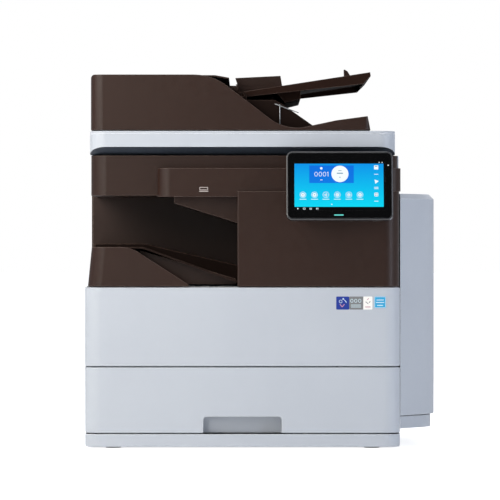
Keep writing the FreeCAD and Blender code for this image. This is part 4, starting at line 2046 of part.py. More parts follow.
os.makedirs("parts", exist_ok=True)
for obj in SUBPARTS:
    obj.Shape.exportStep(os.path.join("parts", obj.Label + ".step"))
    box_of_part = obj.Shape.BoundBox
    print(
        f"{obj.Label}: {len(obj.Shape.Solids)} solids, {obj.Shape.Volume / 1000:.1f} cm3,"
        f" X {box_of_part.XMin:.1f}..{box_of_part.XMax:.1f}"
        f" Y {box_of_part.YMin:.1f}..{box_of_part.YMax:.1f}"
        f" Z {box_of_part.ZMin:.1f}..{box_of_part.ZMax:.1f}"
    )
print(len(SUBPARTS), "nodes")
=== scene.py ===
# %% [markdown]
# # An office photocopier
# The machine's shapes come from a CAD model, which is loaded here as a fixed frame. This script gives
# every surface its finish, adds the pieces that are too fine for the CAD model, such as the picture
# on the touch screen, and sets up the floor, the lights and the camera. All places are in metres.
# Flat shapes are drawn in millimetres, and a matrix brings them to metres as it lays them in place.

# %% Load the frame
import json
import math

import bmesh
import bpy
from mathutils import Matrix, Vector


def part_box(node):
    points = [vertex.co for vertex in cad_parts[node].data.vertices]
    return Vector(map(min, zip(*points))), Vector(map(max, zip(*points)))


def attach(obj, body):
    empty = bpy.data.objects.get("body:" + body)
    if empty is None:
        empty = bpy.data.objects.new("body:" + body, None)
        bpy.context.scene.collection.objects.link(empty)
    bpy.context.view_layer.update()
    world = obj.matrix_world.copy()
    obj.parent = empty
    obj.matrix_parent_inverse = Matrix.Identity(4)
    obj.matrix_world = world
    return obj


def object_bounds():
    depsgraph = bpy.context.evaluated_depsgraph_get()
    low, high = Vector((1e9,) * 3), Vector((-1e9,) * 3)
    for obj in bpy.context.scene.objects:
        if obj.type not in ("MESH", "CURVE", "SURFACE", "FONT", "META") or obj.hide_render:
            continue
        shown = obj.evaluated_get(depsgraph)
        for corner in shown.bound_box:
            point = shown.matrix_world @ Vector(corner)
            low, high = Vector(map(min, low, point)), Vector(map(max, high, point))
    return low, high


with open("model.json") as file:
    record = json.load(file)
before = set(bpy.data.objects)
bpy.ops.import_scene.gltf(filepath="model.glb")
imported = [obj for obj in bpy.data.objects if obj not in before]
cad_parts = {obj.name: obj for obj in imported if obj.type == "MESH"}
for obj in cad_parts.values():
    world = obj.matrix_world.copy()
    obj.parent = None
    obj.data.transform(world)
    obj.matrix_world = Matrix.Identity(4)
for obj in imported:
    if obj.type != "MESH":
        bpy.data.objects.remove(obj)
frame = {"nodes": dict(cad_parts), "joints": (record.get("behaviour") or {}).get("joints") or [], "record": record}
cad_low, cad_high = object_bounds()
nodes = frame["nodes"]
MM = 0.001
print(len(nodes), "CAD nodes,", [round(v, 3) for v in cad_high - cad_low], "m")

# %% [markdown]
# ## Studio
# The camera stands level in front of the machine, a little above half of its height. It stands far
# back with a long lens, as for a catalogue, so upright lines stay upright and the sides hardly show.
# An orthographic camera could stand for the long lens, but then the slight view up under the tray and
# down onto the ledges would be lost.

# %% Camera
SCREEN_AHEAD = 0.0527  # how far the touch screen stands out before the doors
DOORS_FRONT = cad_low.y + SCREEN_AHEAD
CAMERA_DISTANCE = 7.8
CAMERA_X, CAMERA_Z = 0.0134, 0.3555
VIEW_WIDTH = 0.8945  # what the lens takes in, at the doors
SENSOR = 36.0

camera_data = bpy.data.cameras.new("camera")
camera_data.sensor_width = SENSOR
camera_data.lens = SENSOR * CAMERA_DISTANCE / VIEW_WIDTH
camera = bpy.data.objects.new("camera", camera_data)
camera.location = (CAMERA_X, DOORS_FRONT - CAMERA_DISTANCE, CAMERA_Z)
camera.rotation_euler = (math.radians(90), 0, 0)
bpy.context.scene.collection.objects.link(camera)
bpy.context.scene.camera = camera
bpy.context.scene.view_settings.view_transform = "Standard"
print("lens", round(camera_data.lens), "mm")

# %% [markdown]
# Colours are easier to pick as the hex values that a paint chart gives, but Blender's sockets want
# linear light. The values could be typed in as linear numbers, which nobody can read as a colour, so
# one function turns the first into the second.

# %% Colour helper


def linear(hex_value):
    """The linear RGBA of an sRGB hex colour."""
    parts = [int(hex_value[i : i + 2], 16) / 255 for i in (1, 3, 5)]
    return [p / 12.92 if p <= 0.04045 else ((p + 0.055) / 1.055) ** 2.4 for p in parts] + [1.0]


print("middle grey in linear light", [round(v, 3) for v in linear("#808080")])

# %% [markdown]
# Node trees are long to write out, and a function for each kind of node would hide what they are. So
# one function adds a node of any kind, with its settings and the sockets that feed it. Two small ones
# start a material and connect its last shader.

# %% Node helpers


def add_node(tree, kind, settings=(), links=()):
    """A new node. A setting is a property or an input, and a link feeds an input."""
    node = tree.nodes.new("ShaderNode" + kind)
    for name, value in dict(settings).items():
        if isinstance(name, str) and hasattr(node, name):
            setattr(node, name, value)
        else:
            node.inputs[name].default_value = value
    for name, source in dict(links).items():
        tree.links.new(source, node.inputs[name])
    return node


def new_material(name):
    """An empty node material and its tree."""
    material = bpy.data.materials.new(name)
    material.use_nodes = True
    material.node_tree.nodes.clear()
    return material, material.node_tree


def finish_material(tree, surface):
    """Connects the last shader to the output."""
    add_node(tree, "OutputMaterial", links={"Surface": surface})


print("a material starts with", len(bpy.data.materials), "others in the file")

# %% [markdown]
# The floor is a wide disc of matt white paper. It could end in a curved back wall, but the machine is
# looked at from all sides, and a wall would hide it from behind. The disc runs on so far that it
# meets the white sky without a line.
# White paper under soft light still comes out pale grey. So it glows a little, and more when the
# camera looks straight at it than when it lights the machine, which a Light Path node can tell apart.

# %% Floor
FLOOR_RADIUS, FLOOR_SIDES = 60.0, 96
PAPER_GLOW, PAPER_LIFT = 0.2, 0.75  # for the machine, and for the camera

sheet = bmesh.new()
bmesh.ops.create_circle(sheet, cap_ends=True, radius=FLOOR_RADIUS, segments=FLOOR_SIDES)
floor_mesh = bpy.data.meshes.new("studio_floor")
sheet.to_mesh(floor_mesh)
sheet.free()
floor = bpy.data.objects.new("studio_floor", floor_mesh)
bpy.context.scene.collection.objects.link(floor)

floor_paper, tree = new_material("studio_paper_matt_white")
seen = add_node(tree, "LightPath").outputs["Is Camera Ray"]
lift = add_node(tree, "MapRange", {"To Min": PAPER_GLOW, "To Max": PAPER_LIFT}, {"Value": seen})
shader = add_node(
    tree,
    "BsdfPrincipled",
    {
        "Base Color": linear("#F6F6F6"),
        "Roughness": 0.9,
        "Specular IOR Level": 0.1,
        "Emission Color": linear("#FFFFFF"),
    },
    {"Emission Strength": lift.outputs[0]},
)
finish_material(tree, shader.outputs[0])
floor_mesh.materials.append(floor_paper)
print("floor disc", 2 * FLOOR_RADIUS, "m across")

# %% [markdown]
# Plastic covers need large, soft lights: a small lamp would put one hot spot on each corner. The key
# panel stands close at the upper left, so that its light falls off towards the right. A tall panel
# farther in front gives the dark plastic its soft sheen. The strips at the sides draw the upright
# highlights down the rounded corners, strong on the right and weak on the left, where the key
# already falls. The top and back panels light what the others leave dark.

# %% Lamps
# place, width and height in metres, power in watts, tint
LIGHTS = {
    "key_panel": ((-1.0, -1.0, 1.1), (0.9, 0.9), 16, "#FFFAF2"),
    "sheen_panel": ((-0.95, -2.4, 1.0), (0.45, 1.2), 15, "#FFFAF2"),
    "left_strip": ((-2.2, -0.6, 0.8), (0.5, 2.0), 2, "#F6F9FF"),
    "right_strip": ((1.8, -1.3, 0.75), (0.4, 1.8), 16, "#E9F0FF"),
    "top_panel": ((-0.4, -0.2, 2.8), (2.0, 2.0), 24, "#FFFFFF"),
    "back_panel": ((1.2, 2.8, 2.0), (1.8, 1.6), 14, "#FFFFFF"),
}
AIM = Vector((0, -0.1, 0.35))  # the middle of the machine, which every lamp faces

for name, (place, size, power, tint) in LIGHTS.items():
    lamp = bpy.data.lights.new(name, "AREA")
    lamp.shape = "RECTANGLE"
    lamp.size, lamp.size_y = size
    lamp.energy = power
    lamp.color = linear(tint)[:3]
    holder = bpy.data.objects.new(name, lamp)
    holder.location = place
    holder.rotation_euler = (AIM - Vector(place)).to_track_quat("-Z", "Y").to_euler()
    holder.visible_camera = False
    bpy.context.scene.collection.objects.link(holder)
print(len(LIGHTS), "soft lamps")

# %% [markdown]
# A pale sky fills the rest. An even sky would be simpler, but black glass and dark plastic would
# mirror it and look grey. So it is dark behind the camera, as a real studio is: the dot product of
# the sky's direction with the one towards the camera says how far to dim it. The camera itself sees
# plain white.

# %% Sky
SKY_STRENGTH, FRONT_STRENGTH = 0.42, 0.04
TOWARDS_CAMERA = Vector((0, -0.93, 0.36))

sky = bpy.data.worlds.new("studio_sky")
sky.use_nodes = True
tree = sky.node_tree
tree.nodes.clear()
direction = add_node(tree, "TexCoord").outputs["Generated"]
towards = add_node(
    tree, "VectorMath", {"operation": "DOT_PRODUCT", 1: TOWARDS_CAMERA}, {0: direction}
)
dimmed = add_node(
    tree,
    "MapRange",
    {"From Min": 0.6, "From Max": 0.92, "To Min": SKY_STRENGTH, "To Max": FRONT_STRENGTH},
    {"Value": towards.outputs["Value"]},
)
seen = add_node(tree, "LightPath").outputs["Is Camera Ray"]
glow = add_node(tree, "Background", {"Color": linear("#F2F6FF")}, {"Strength": dimmed.outputs[0]})
backdrop = add_node(tree, "Background", {"Color": linear("#FFFFFF")})
mixed = add_node(tree, "MixShader", links={0: seen, 1: glow.outputs[0], 2: backdrop.outputs[0]})
add_node(tree, "OutputWorld", links={"Surface": mixed.outputs[0]})
bpy.context.scene.world = sky
print("sky", SKY_STRENGTH, "and", FRONT_STRENGTH, "behind the camera")

# %% [markdown]
# ## Finishes
# Edges are handled more than faces, so there a plastic cover's grain is rubbed smoother and lighter.
# The lighter edge colour is also a painted highlight, for the fine lines of light that edges catch.
# The edges are found by comparing the true normal with the one of a Bevel node, which also rounds
# every edge in the light by a millimetre and a half. Painting each edge by hand would give the same
# look, but not on every piece at once. A noise breaks the wear and the painted highlight up, since
# hands don't rub evenly.

# %% Worn edges and painted edge highlight
EDGE_ROUND = 1.5 * MM
EDGE_FROM, EDGE_FULL = 0.995, 0.88  # dot products of the two normals, where wear and painted highlight start and are full
EDGE_WEAR_AND_HIGHLIGHT = 2.0  # makes up for the scuff noise, which averages a half
SCUFF = 9 * MM


def worn_and_highlit_edges(tree, rounded, flat, scuff):
    """How far each point is rubbed and painted as highlight: 0 on a face, more on an edge, in uneven patches."""
    facing = add_node(
        tree,
        "VectorMath",
        {"operation": "DOT_PRODUCT"},
        {0: rounded.outputs[0], 1: flat.outputs["Normal"]},
    )
    edge = add_node(
        tree,
        "MapRange",
        {"From Min": EDGE_FROM, "From Max": EDGE_FULL, "To Min": 0.0, "To Max": EDGE_WEAR_AND_HIGHLIGHT},
        {"Value": facing.outputs["Value"]},
    )
    return add_node(
        tree, "Math", {"operation": "MULTIPLY"}, {0: edge.outputs[0], 1: scuff.outputs["Fac"]}
    )


print("edges rounded by", EDGE_ROUND, "m, scuffed every", SCUFF, "m")

# %% [markdown]
# The outer covers are injection-moulded ABS. The mould is spark-eroded, which leaves a fine even
# grain of about 0.3 mm that scatters the light, so the covers look matt but not dusty. A high
# roughness alone would look like chalk, so the grain is a noise texture fed to a Bump node.
# Some pieces get painted shade underneath, in a darker under colour. The normal's height tells
# faces that look down from all others, so this painted shade can be asked for.

# %% Moulded plastic
GRAIN = 0.9 * MM  # the real grain of 0.3 mm would not show from here, so it is drawn coarser
GRAIN_HEIGHT = 0.12 * MM
CLOUD = 140 * MM  # slow changes of shade across a moulding, from uneven cooling
ABS_IOR = 1.53


def moulded_abs(name, body, shade, edge_wear_highlight, roughness, grain_depth, mirror=0.5, underside_painted_shade=None):
    """Matt ABS: two drifting tones, edges worn and painted highlit, undersides in painted shade if asked."""
    material, tree = new_material(name)
    place = add_node(tree, "TexCoord").outputs["Object"]
    cloud = add_node(tree, "TexNoise", {"Scale": 1 / CLOUD, "Detail": 3.0}, {"Vector": place})
    grain = add_node(tree, "TexNoise", {"Scale": 1 / GRAIN, "Detail": 2.0}, {"Vector": place})
    scuff = add_node(tree, "TexNoise", {"Scale": 1 / SCUFF, "Detail": 4.0}, {"Vector": place})
    rounded = add_node(tree, "Bevel", {"samples": 4, "Radius": EDGE_ROUND})
    flat = add_node(tree, "NewGeometry")
    rubbed_and_highlit = worn_and_highlit_edges(tree, rounded, flat, scuff)
    tone = add_node(
        tree,
        "Mix",
        {"data_type": "RGBA", 6: linear(body), 7: linear(shade)},
        {0: cloud.outputs["Fac"]},
    )
    # Wear and painted highlight: edges are mixed towards the lighter edge colour.
    colour = add_node(
        tree,
        "Mix",
        {"data_type": "RGBA", 7: linear(edge_wear_highlight)},
        {0: rubbed_and_highlit.outputs[0], 6: tone.outputs[2]},
    )
    # Painted shade: faces that look down are mixed towards the darker under colour.
    if underside_painted_shade:
        tilt = add_node(tree, "SeparateXYZ", links={0: flat.outputs["Normal"]})
        painted_shade_below = add_node(
            tree, "MapRange", {"From Min": -0.1, "From Max": -0.3}, {"Value": tilt.outputs["Z"]}
        )
        colour = add_node(
            tree,
            "Mix",
            {"data_type": "RGBA", 7: linear(underside_painted_shade)},
            {0: painted_shade_below.outputs[0], 6: colour.outputs[2]},
        )
    gloss = add_node(
        tree,
        "MapRange",
        {"From Min": 0.3, "From Max": 0.7, "To Min": roughness - 0.05, "To Max": roughness + 0.06},
        {"Value": scuff.outputs["Fac"]},
    )
    bump = add_node(
        tree,
        "Bump",
        {"Strength": grain_depth, "Distance": GRAIN_HEIGHT},
        {"Height": grain.outputs["Fac"], "Normal": rounded.outputs[0]},
    )
    shader = add_node(
        tree,
        "BsdfPrincipled",
        {"IOR": ABS_IOR, "Specular IOR Level": mirror},
        {"Base Color": colour.outputs[2], "Roughness": gloss.outputs[0], "Normal": bump.outputs[0]},
    )
    finish_material(tree, shader.outputs[0])
    return material


print("grain", GRAIN, "m, clouds", CLOUD, "m")

# %% [markdown]
# The same plastic comes in a few pigments. Each could be one plain colour, but real mouldings drift
# between two close shades as they cool, so each takes a pair, and a third, lighter one for wear and
# the painted highlight along the edges.

# %% Colours of the covers
finishes = {
    # Silver-grey pigment with a fine pearl: cool, even and pale, it shows the room's light softly.
    "silver_plastic": moulded_abs(
        "abs_silver_grey_grained", "#B2B8C0", "#AAB0B9", "#F6F9FD", 0.46, 0.2
    ),
    # Dark brown pigment: nearly black in the hollows, warm where the light falls on it.
    "brown_plastic": moulded_abs(
        "abs_dark_brown_grained", "#2A170F", "#24130B", "#6E5F58", 0.42, 0.2, mirror=0.27
    ),
    # Black pigment, used inside where nobody looks, from a mould with a deeper grain.
    "black_plastic": moulded_abs("abs_black_coarse", "#1B1C1E", "#141517", "#3C3E42", 0.5, 0.35),
    # White backing sheet that presses the page flat: a smooth, slightly soft plastic.
    "white_backing": moulded_abs(
        "polyester_backing_white", "#F1F1EC", "#E9E9E3", "#FFFFFF", 0.55, 0.12
    ),
}
# The scanner's slanting underside is painted a darker blue-grey without pearl, as painted shade.
scanner_painted_shade_finish = moulded_abs(
    "abs_silver_grey_painted_underside_shade", "#B2B8C0", "#AAB0B9", "#E9ECF1", 0.46, 0.2, underside_painted_shade="#323943"
)
# The document tray, the trough under it and the output tray are moulded with a rougher grain, which
# hides scratches from paper and staples, and they mirror almost nothing. The document tray's
# undersides are in painted shade, and the trough and the output tray are painted near black as
# shade for the hollows they sit in.
tray_finish_painted_under_shade = moulded_abs(
    "abs_dark_brown_rough", "#24150F", "#1F110B", "#6A5B54", 0.62, 0.3, mirror=0.06, underside_painted_shade="#140B08"
)
# Painted shade: the trough and the output tray are made near black for the hollows they sit in.
trough_painted_shade_finish = moulded_abs(
    "abs_dark_brown_painted_shade", "#1A0F0B", "#150B07", "#4A3C36", 0.6, 0.3, mirror=0.06
)
print(len(finishes) + 3, "moulded finishes")

# %% [markdown]
# Inside are folded plates and pins of zinc-coated steel. Hot zinc freezes into crystals a few
# millimetres across, each with its own tone, which is called spangle. A noise texture would give
# clouds without borders. Voronoi cells have the crystals' shape, and each cell's random colour drives
# its brightness and its roughness.

# %% Steel sheet
SPANGLE = 7 * MM
SHEET_EDGE = 0.4 * MM

material, tree = new_material("steel_sheet_zinc_coated")
place = add_node(tree, "TexCoord").outputs["Object"]
cells = add_node(tree, "TexVoronoi", {"Scale": 1 / SPANGLE}, {"Vector": place})
fine = add_node(tree, "TexNoise", {"Scale": 1 / GRAIN, "Detail": 3.0}, {"Vector": place})
shine = add_node(tree, "SeparateColor", links={"Color": cells.outputs["Color"]})
tone = add_node(
    tree,
    "Mix",
    {"data_type": "RGBA", 6: linear("#9FA4A8"), 7: linear("#C2C6C9")},
    {0: shine.outputs[0]},
)
matt = add_node(tree, "MapRange", {"To Min": 0.28, "To Max": 0.5}, {"Value": shine.outputs[1]})
rounded = add_node(tree, "Bevel", {"samples": 4, "Radius": SHEET_EDGE})
bump = add_node(
    tree,
    "Bump",
    {"Strength": 0.15, "Distance": 0.05 * MM},
    {"Height": fine.outputs["Fac"], "Normal": rounded.outputs[0]},
)
steel = add_node(
    tree,
    "BsdfPrincipled",
    {"Metallic": 1.0},
    {"Base Color": tone.outputs[2], "Roughness": matt.outputs[0], "Normal": bump.outputs[0]},
)
finish_material(tree, steel.outputs[0])
finishes["steel_sheet"] = material
print("spangle", SPANGLE, "m across")

# %% [markdown]
# The rollers are rubber, ground round on a lathe, which leaves fine rings in the surface, and they
# pick up paper dust. Rings could be cut in the mesh, but they are far too fine. A noise that is
# stretched round the roller and stays fine along it gives the same broken rings.

# %% Roller rubber
ROLL_RING = 0.9 * MM
RUBBER_IOR = 1.52

material, tree = new_material("rubber_black_ground")
place = add_node(tree, "TexCoord").outputs["Object"]
along = add_node(tree, "Mapping", {"Scale": (0.1, 1.0, 0.1)}, {"Vector": place})
rings = add_node(
    tree, "TexNoise", {"Scale": 1 / ROLL_RING, "Detail": 2.0}, {"Vector": along.outputs[0]}
)
dust = add_node(tree, "TexNoise", {"Scale": 1 / SCUFF, "Detail": 5.0}, {"Vector": place})
tone = add_node(
    tree,
    "Mix",
    {"data_type": "RGBA", 6: linear("#1D1D1E"), 7: linear("#3A3937")},
    {0: dust.outputs["Fac"]},
)
dull = add_node(tree, "MapRange", {"To Min": 0.72, "To Max": 0.95}, {"Value": rings.outputs["Fac"]})
bump = add_node(
    tree, "Bump", {"Strength": 0.5, "Distance": 0.1 * MM}, {"Height": rings.outputs["Fac"]}
)
rubber = add_node(
    tree,
    "BsdfPrincipled",
    {"IOR": RUBBER_IOR},
    {"Base Color": tone.outputs[2], "Roughness": dull.outputs[0], "Normal": bump.outputs[0]},
)
finish_material(tree, rubber.outputs[0])
finishes["roller_rubber"] = material
print("rings", ROLL_RING, "m apart")

# %% [markdown]
# The imaging drum is an aluminium tube with a thin blue-green coating, smooth as glass. The coating
# could be a glass shell over a metal core, but at a few hundredths of a millimetre nobody would see
# the gap. A partly metallic base under a clear coat has the same depth.

# %% Imaging drum
material, tree = new_material("aluminium_drum_coated_teal")
place = add_node(tree, "TexCoord").outputs["Object"]
turned = add_node(tree, "Mapping", {"Scale": (0.02, 1.0, 0.02)}, {"Vector": place})
lines = add_node(
    tree, "TexNoise", {"Scale": 1 / ROLL_RING, "Detail": 1.0}, {"Vector": turned.outputs[0]}
)
tone = add_node(
    tree,
    "Mix",
    {"data_type": "RGBA", 6: linear("#1F6F66"), 7: linear("#2A8378")},
    {0: lines.outputs["Fac"]},
)
soft = add_node(tree, "MapRange", {"To Min": 0.16, "To Max": 0.24}, {"Value": lines.outputs["Fac"]})
bump = add_node(
    tree, "Bump", {"Strength": 0.05, "Distance": 0.02 * MM}, {"Height": lines.outputs["Fac"]}
)
drum = add_node(
    tree,
    "BsdfPrincipled",
    {"Metallic": 0.35, "Coat Weight": 1.0, "Coat Roughness": 0.05},
    {"Base Color": tone.outputs[2], "Roughness": soft.outputs[0], "Normal": bump.outputs[0]},
)
finish_material(tree, drum.outputs[0])
finishes["drum_coating"] = material
print("drum coating made")

# %% [markdown]
# The scanner's window is float glass, flat and clear with a faint green edge. Fingers leave smears a
# few centimetres long. A smear could be a layer of its own, but it only shows as a change of
# roughness, so a slow noise drives that.

# %% Float glass
SMEAR = 30 * MM
GLASS_IOR = 1.52

material, tree = new_material("float_glass_clear")
place = add_node(tree, "TexCoord").outputs["Object"]
smear = add_node(tree, "TexNoise", {"Scale": 1 / SMEAR, "Detail": 6.0}, {"Vector": place})
haze = add_node(
    tree,
    "MapRange",
    {"From Min": 0.45, "From Max": 0.75, "To Min": 0.0, "To Max": 0.12},
    {"Value": smear.outputs["Fac"]},
)
pane = add_node(
    tree,
    "BsdfPrincipled",
    {"Base Color": linear("#EAF5F0"), "Transmission Weight": 1.0, "IOR": GLASS_IOR},
    {"Roughness": haze.outputs[0]},
)
finish_material(tree, pane.outputs[0])
finishes["scanner_glass"] = material
print("smears", SMEAR, "m long")

# %% [markdown]
# The touch screen's case is gloss black polycarbonate, and its front is black glass, blacker and
# smoother. Both could be a plain black with a low roughness. A dark base under a hard clear coat
# keeps the highlights sharp while the base stays soft, as polished plastic does. Wiping leaves fine
# streaks across, so their noise is stretched along X.

# %% Gloss black
WIPE = 2.5 * MM
CASE_EDGE = 0.5 * MM


def gloss_black(name, body, streak, haze_low, haze_high):
    """A black moulding or glass under a hard clear coat, with fine wiping marks."""
    material, tree = new_material(name)
    place = add_node(tree, "TexCoord").outputs["Object"]
    across = add_node(tree, "Mapping", {"Scale": (0.15, 1.0, 1.0)}, {"Vector": place})
    wipe = add_node(
        tree, "TexNoise", {"Scale": 1 / WIPE, "Detail": 5.0}, {"Vector": across.outputs[0]}
    )
    smear = add_node(tree, "TexNoise", {"Scale": 1 / SMEAR, "Detail": 4.0}, {"Vector": place})
    haze = add_node(
        tree, "MapRange", {"To Min": haze_low, "To Max": haze_high}, {"Value": smear.outputs["Fac"]}
    )
    rounded = add_node(tree, "Bevel", {"samples": 4, "Radius": CASE_EDGE})
    bump = add_node(
        tree,
        "Bump",
        {"Strength": 0.03, "Distance": 0.02 * MM},
        {"Height": wipe.outputs["Fac"], "Normal": rounded.outputs[0]},
    )
    tone = add_node(
        tree,
        "Mix",
        {"data_type": "RGBA", 6: linear(body), 7: linear(streak)},
        {0: smear.outputs["Fac"]},
    )
    shader = add_node(
        tree,
        "BsdfPrincipled",
        {"Coat Weight": 0.8, "Coat Roughness": 0.04},
        {"Base Color": tone.outputs[2], "Roughness": haze.outputs[0], "Normal": bump.outputs[0]},
    )
    finish_material(tree, shader.outputs[0])
    return material


finishes["tablet_case"] = gloss_black("polycarbonate_gloss_black", "#1A1B1D", "#2C2D30", 0.2, 0.32)
finishes["tablet_screen"] = gloss_black("screen_glass_black", "#020202", "#060607", 0.05, 0.14)
print("case and screen glass made")

# %% [markdown]
# The circuit cards inside are green lacquer over copper tracks, which shine through as paler lines.
# Real tracks would need a drawing of the circuit. A brick pattern on the pitch of the parts' legs
# reads as tracks from any distance at which the cards are seen.

# %% Circuit card
TRACK = 2.54 * MM  # the usual pitch of legs on a card
TRACKS_PER_BLOCK = 8

material, tree = new_material("circuit_card_green_lacquer")
place = add_node(tree, "TexCoord").outputs["Object"]
upright = add_node(tree, "Mapping", {"Rotation": (math.radians(90), 0, 0)}, {"Vector": place})
tracks = add_node(
    tree,
    "TexBrick",
    {
        "Color1": linear("#0E5A33"),
        "Color2": linear("#12683C"),
        "Mortar": linear("#2E8A57"),
        "Scale": 1 / (TRACKS_PER_BLOCK * TRACK),
        "Mortar Size": 0.03,
    },
    {"Vector": upright.outputs[0]},
)
bump = add_node(
    tree, "Bump", {"Strength": 0.3, "Distance": 0.1 * MM}, {"Height": tracks.outputs["Fac"]}
)
lacquer = add_node(
    tree,
    "BsdfPrincipled",
    {"Roughness": 0.28, "Coat Weight": 0.5, "Coat Roughness": 0.1},
    {"Base Color": tracks.outputs["Color"], "Normal": bump.outputs[0]},
)
finish_material(tree, lacquer.outputs[0])
finishes["circuit_card"] = material
print(len(finishes), "finishes:", sorted(finishes))

# %% [markdown]
# Every CAD node takes the finish that the parts list names for it. The mesh itself is left alone:
# only its material is set. Four nodes then get a finish of their own: the scanner's housing with
# painted shade on its underside, the document tray with a rougher grain and painted shade under it,
# and the trough and the output tray in a near black that is painted shade.

# %% Give each CAD node its finish
slot_of_node = {row["node"]: row["material_slot"] for row in frame["record"]["subparts"]}
OWN_FINISH = {
    "scanner_housing": scanner_painted_shade_finish,
    "feeder_input_tray": tray_finish_painted_under_shade,
    "feeder_frame": trough_painted_shade_finish,
    "output_tray": trough_painted_shade_finish,
}
for name, node in nodes.items():
    node.data.materials.clear()
    node.data.materials.append(OWN_FINISH.get(name, finishes[slot_of_node[name]]))
print("finished", len(nodes), "nodes")

# %% [markdown]
# ## Small flat pieces
# The picture on the screen, the labels and the printed sign are all thin flat shapes. Images on the
# faces would be quicker, but thin plates stay sharp at any distance and move with their part.
# Each shape is drawn flat about the origin, in millimetres. Three are enough: a rectangle whose
# corners can be rounded by a bevel, a disc that is an oval or a polygon if asked, and the rim of
# either, which an inset leaves when the middle is taken out.

# %% Flat shapes
CURVE_SIDES = 28
CORNER_STEPS = 5


def rectangle(width, height, corner=0.0):
    """A flat rectangle about the origin, its corners rounded if asked."""
    shape = bmesh.new()
    bmesh.ops.create_grid(shape, x_segments=1, y_segments=1, size=0.5)
    bmesh.ops.scale(shape, vec=(width, height, 1), verts=shape.verts)
    if corner:
        bmesh.ops.bevel(
            shape,
            geom=shape.verts[:],
            offset=corner,
            segments=CORNER_STEPS,
            profile=0.5,
            affect="VERTICES",
            material=-1,
        )
    return shape


def disc(radius, stretch=1.0, sides=CURVE_SIDES):
    """A flat disc, or an oval if stretched along Y. With three sides it is a triangle."""
    shape = bmesh.new()
    bmesh.ops.create_circle(shape, cap_ends=True, radius=radius, segments=sides)
    bmesh.ops.scale(shape, vec=(1, stretch, 1), verts=shape.verts)
    return shape


def hollow(shape, width):
    """Leaves only a rim of this width of a flat shape."""
    bmesh.ops.inset_region(
        shape, faces=shape.faces[:], thickness=width, use_boundary=True, use_even_offset=True
    )
    middle = max(shape.faces, key=lambda face: len(face.verts))
    bmesh.ops.delete(shape, geom=[middle], context="FACES_ONLY")
    return shape


trial = hollow(disc(5.0), 1.0)
print("a rim has", len(trial.faces), "faces")
trial.free()

# %% [markdown]
# A shape then gets its thickness by an extrusion, and is added to its piece. Shapes of one colour
# are gathered in one piece, since a hundred little objects would be hard to keep in order.
# A leaning face is awkward to draw on, so a piece is first laid out flat, and one matrix carries it
# to the face: X to the right, Y up the face and Z out of it.

# %% Raise shapes and lay them on a face


def stamp(group, shape, x, y, lift, thickness, turn=0.0):
    """Thickens a flat shape, moves it to its place in millimetres and adds it to group."""
    raised = bmesh.ops.extrude_face_region(shape, geom=shape.faces[:])["geom"]
    top = [v for v in raised if isinstance(v, bmesh.types.BMVert)]
    bmesh.ops.translate(shape, vec=(0, 0, thickness), verts=top)
    bmesh.ops.recalc_face_normals(shape, faces=shape.faces)
    place = Matrix.Translation((x, y, lift)) @ Matrix.Rotation(math.radians(turn), 4, "Z")
    bmesh.ops.transform(shape, matrix=place, verts=shape.verts)
    carrier = bpy.data.meshes.new("carrier")
    shape.to_mesh(carrier)
    shape.free()
    group.from_mesh(carrier)
    bpy.data.meshes.remove(carrier)


def face_matrix(corner, lean=0.0):
    """From millimetres on a face to its place, for a face that leans back by some degrees."""
    lean = math.radians(lean)
    up = Vector((0, math.sin(lean), math.cos(lean)))
    out = Vector((0, -math.cos(lean), math.sin(lean)))
    axes = Matrix((Vector((1, 0, 0)), up, out)).transposed().to_4x4()
    return Matrix.Translation(corner) @ axes @ Matrix.Scale(MM, 4)


def finish_piece(group, name, matrix, body, material):
    """Makes the group one piece that rides on a body."""
    bmesh.ops.transform(group, matrix=matrix, verts=group.verts)
    mesh = bpy.data.meshes.new(name)
    group.to_mesh(mesh)
    group.free()
    mesh.materials.append(material)
    piece = bpy.data.objects.new(name, mesh)
    bpy.context.scene.collection.objects.link(piece)
    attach(piece, body)
    print(name, len(mesh.polygons), "faces")


print("a face without lean looks along", face_matrix((0, 0, 0)).col[2].xyz.normalized()[:])

# %% [markdown]
# ## The picture on the touch screen
# A lit display has two things that a lamp has not: it shines through fine cells, and it is brighter
# or bluer from one side to the other. The cells are a checker far coarser than the real 0.2 mm, so
# that they show at all. The change of colour runs with height, which the Object coordinates give.

# %% Finish of the lit display
CELL = 0.8 * MM
CELL_DIM = 0.94  # every second cell is this much darker
SCREEN_LOW, SCREEN_HIGH = 0.435, 0.514


def lit(name, low_colour, high_colour, strength=1.0):
    """A glowing colour that changes with height, broken up by the display's cells."""
    material, tree = new_material(name)
    place = add_node(tree, "TexCoord").outputs["Object"]
    height = add_node(tree, "SeparateXYZ", links={0: place})
    share = add_node(
        tree,
        "MapRange",
        {"From Min": SCREEN_LOW, "From Max": SCREEN_HIGH},
        {"Value": height.outputs["Z"]},
    )
    hue = add_node(
        tree,
        "Mix",
        {"data_type": "RGBA", 6: linear(low_colour), 7: linear(high_colour)},
        {0: share.outputs[0]},
    )
    cells = add_node(
        tree,
        "TexChecker",
        {"Color1": (1, 1, 1, 1), "Color2": (CELL_DIM, CELL_DIM, CELL_DIM, 1), "Scale": 1 / CELL},
        {"Vector": place},
    )
    light = add_node(
        tree,
        "Mix",
        {"data_type": "RGBA", "blend_type": "MULTIPLY", 0: 1.0},
        {6: hue.outputs[2], 7: cells.outputs["Color"]},
    )
    shader = add_node(
        tree,
        "BsdfPrincipled",
        {"Base Color": linear("#050608"), "Roughness": 0.15, "Emission Strength": strength},
        {"Emission Color": light.outputs[2]},
    )
    finish_material(tree, shader.outputs[0])
    return material


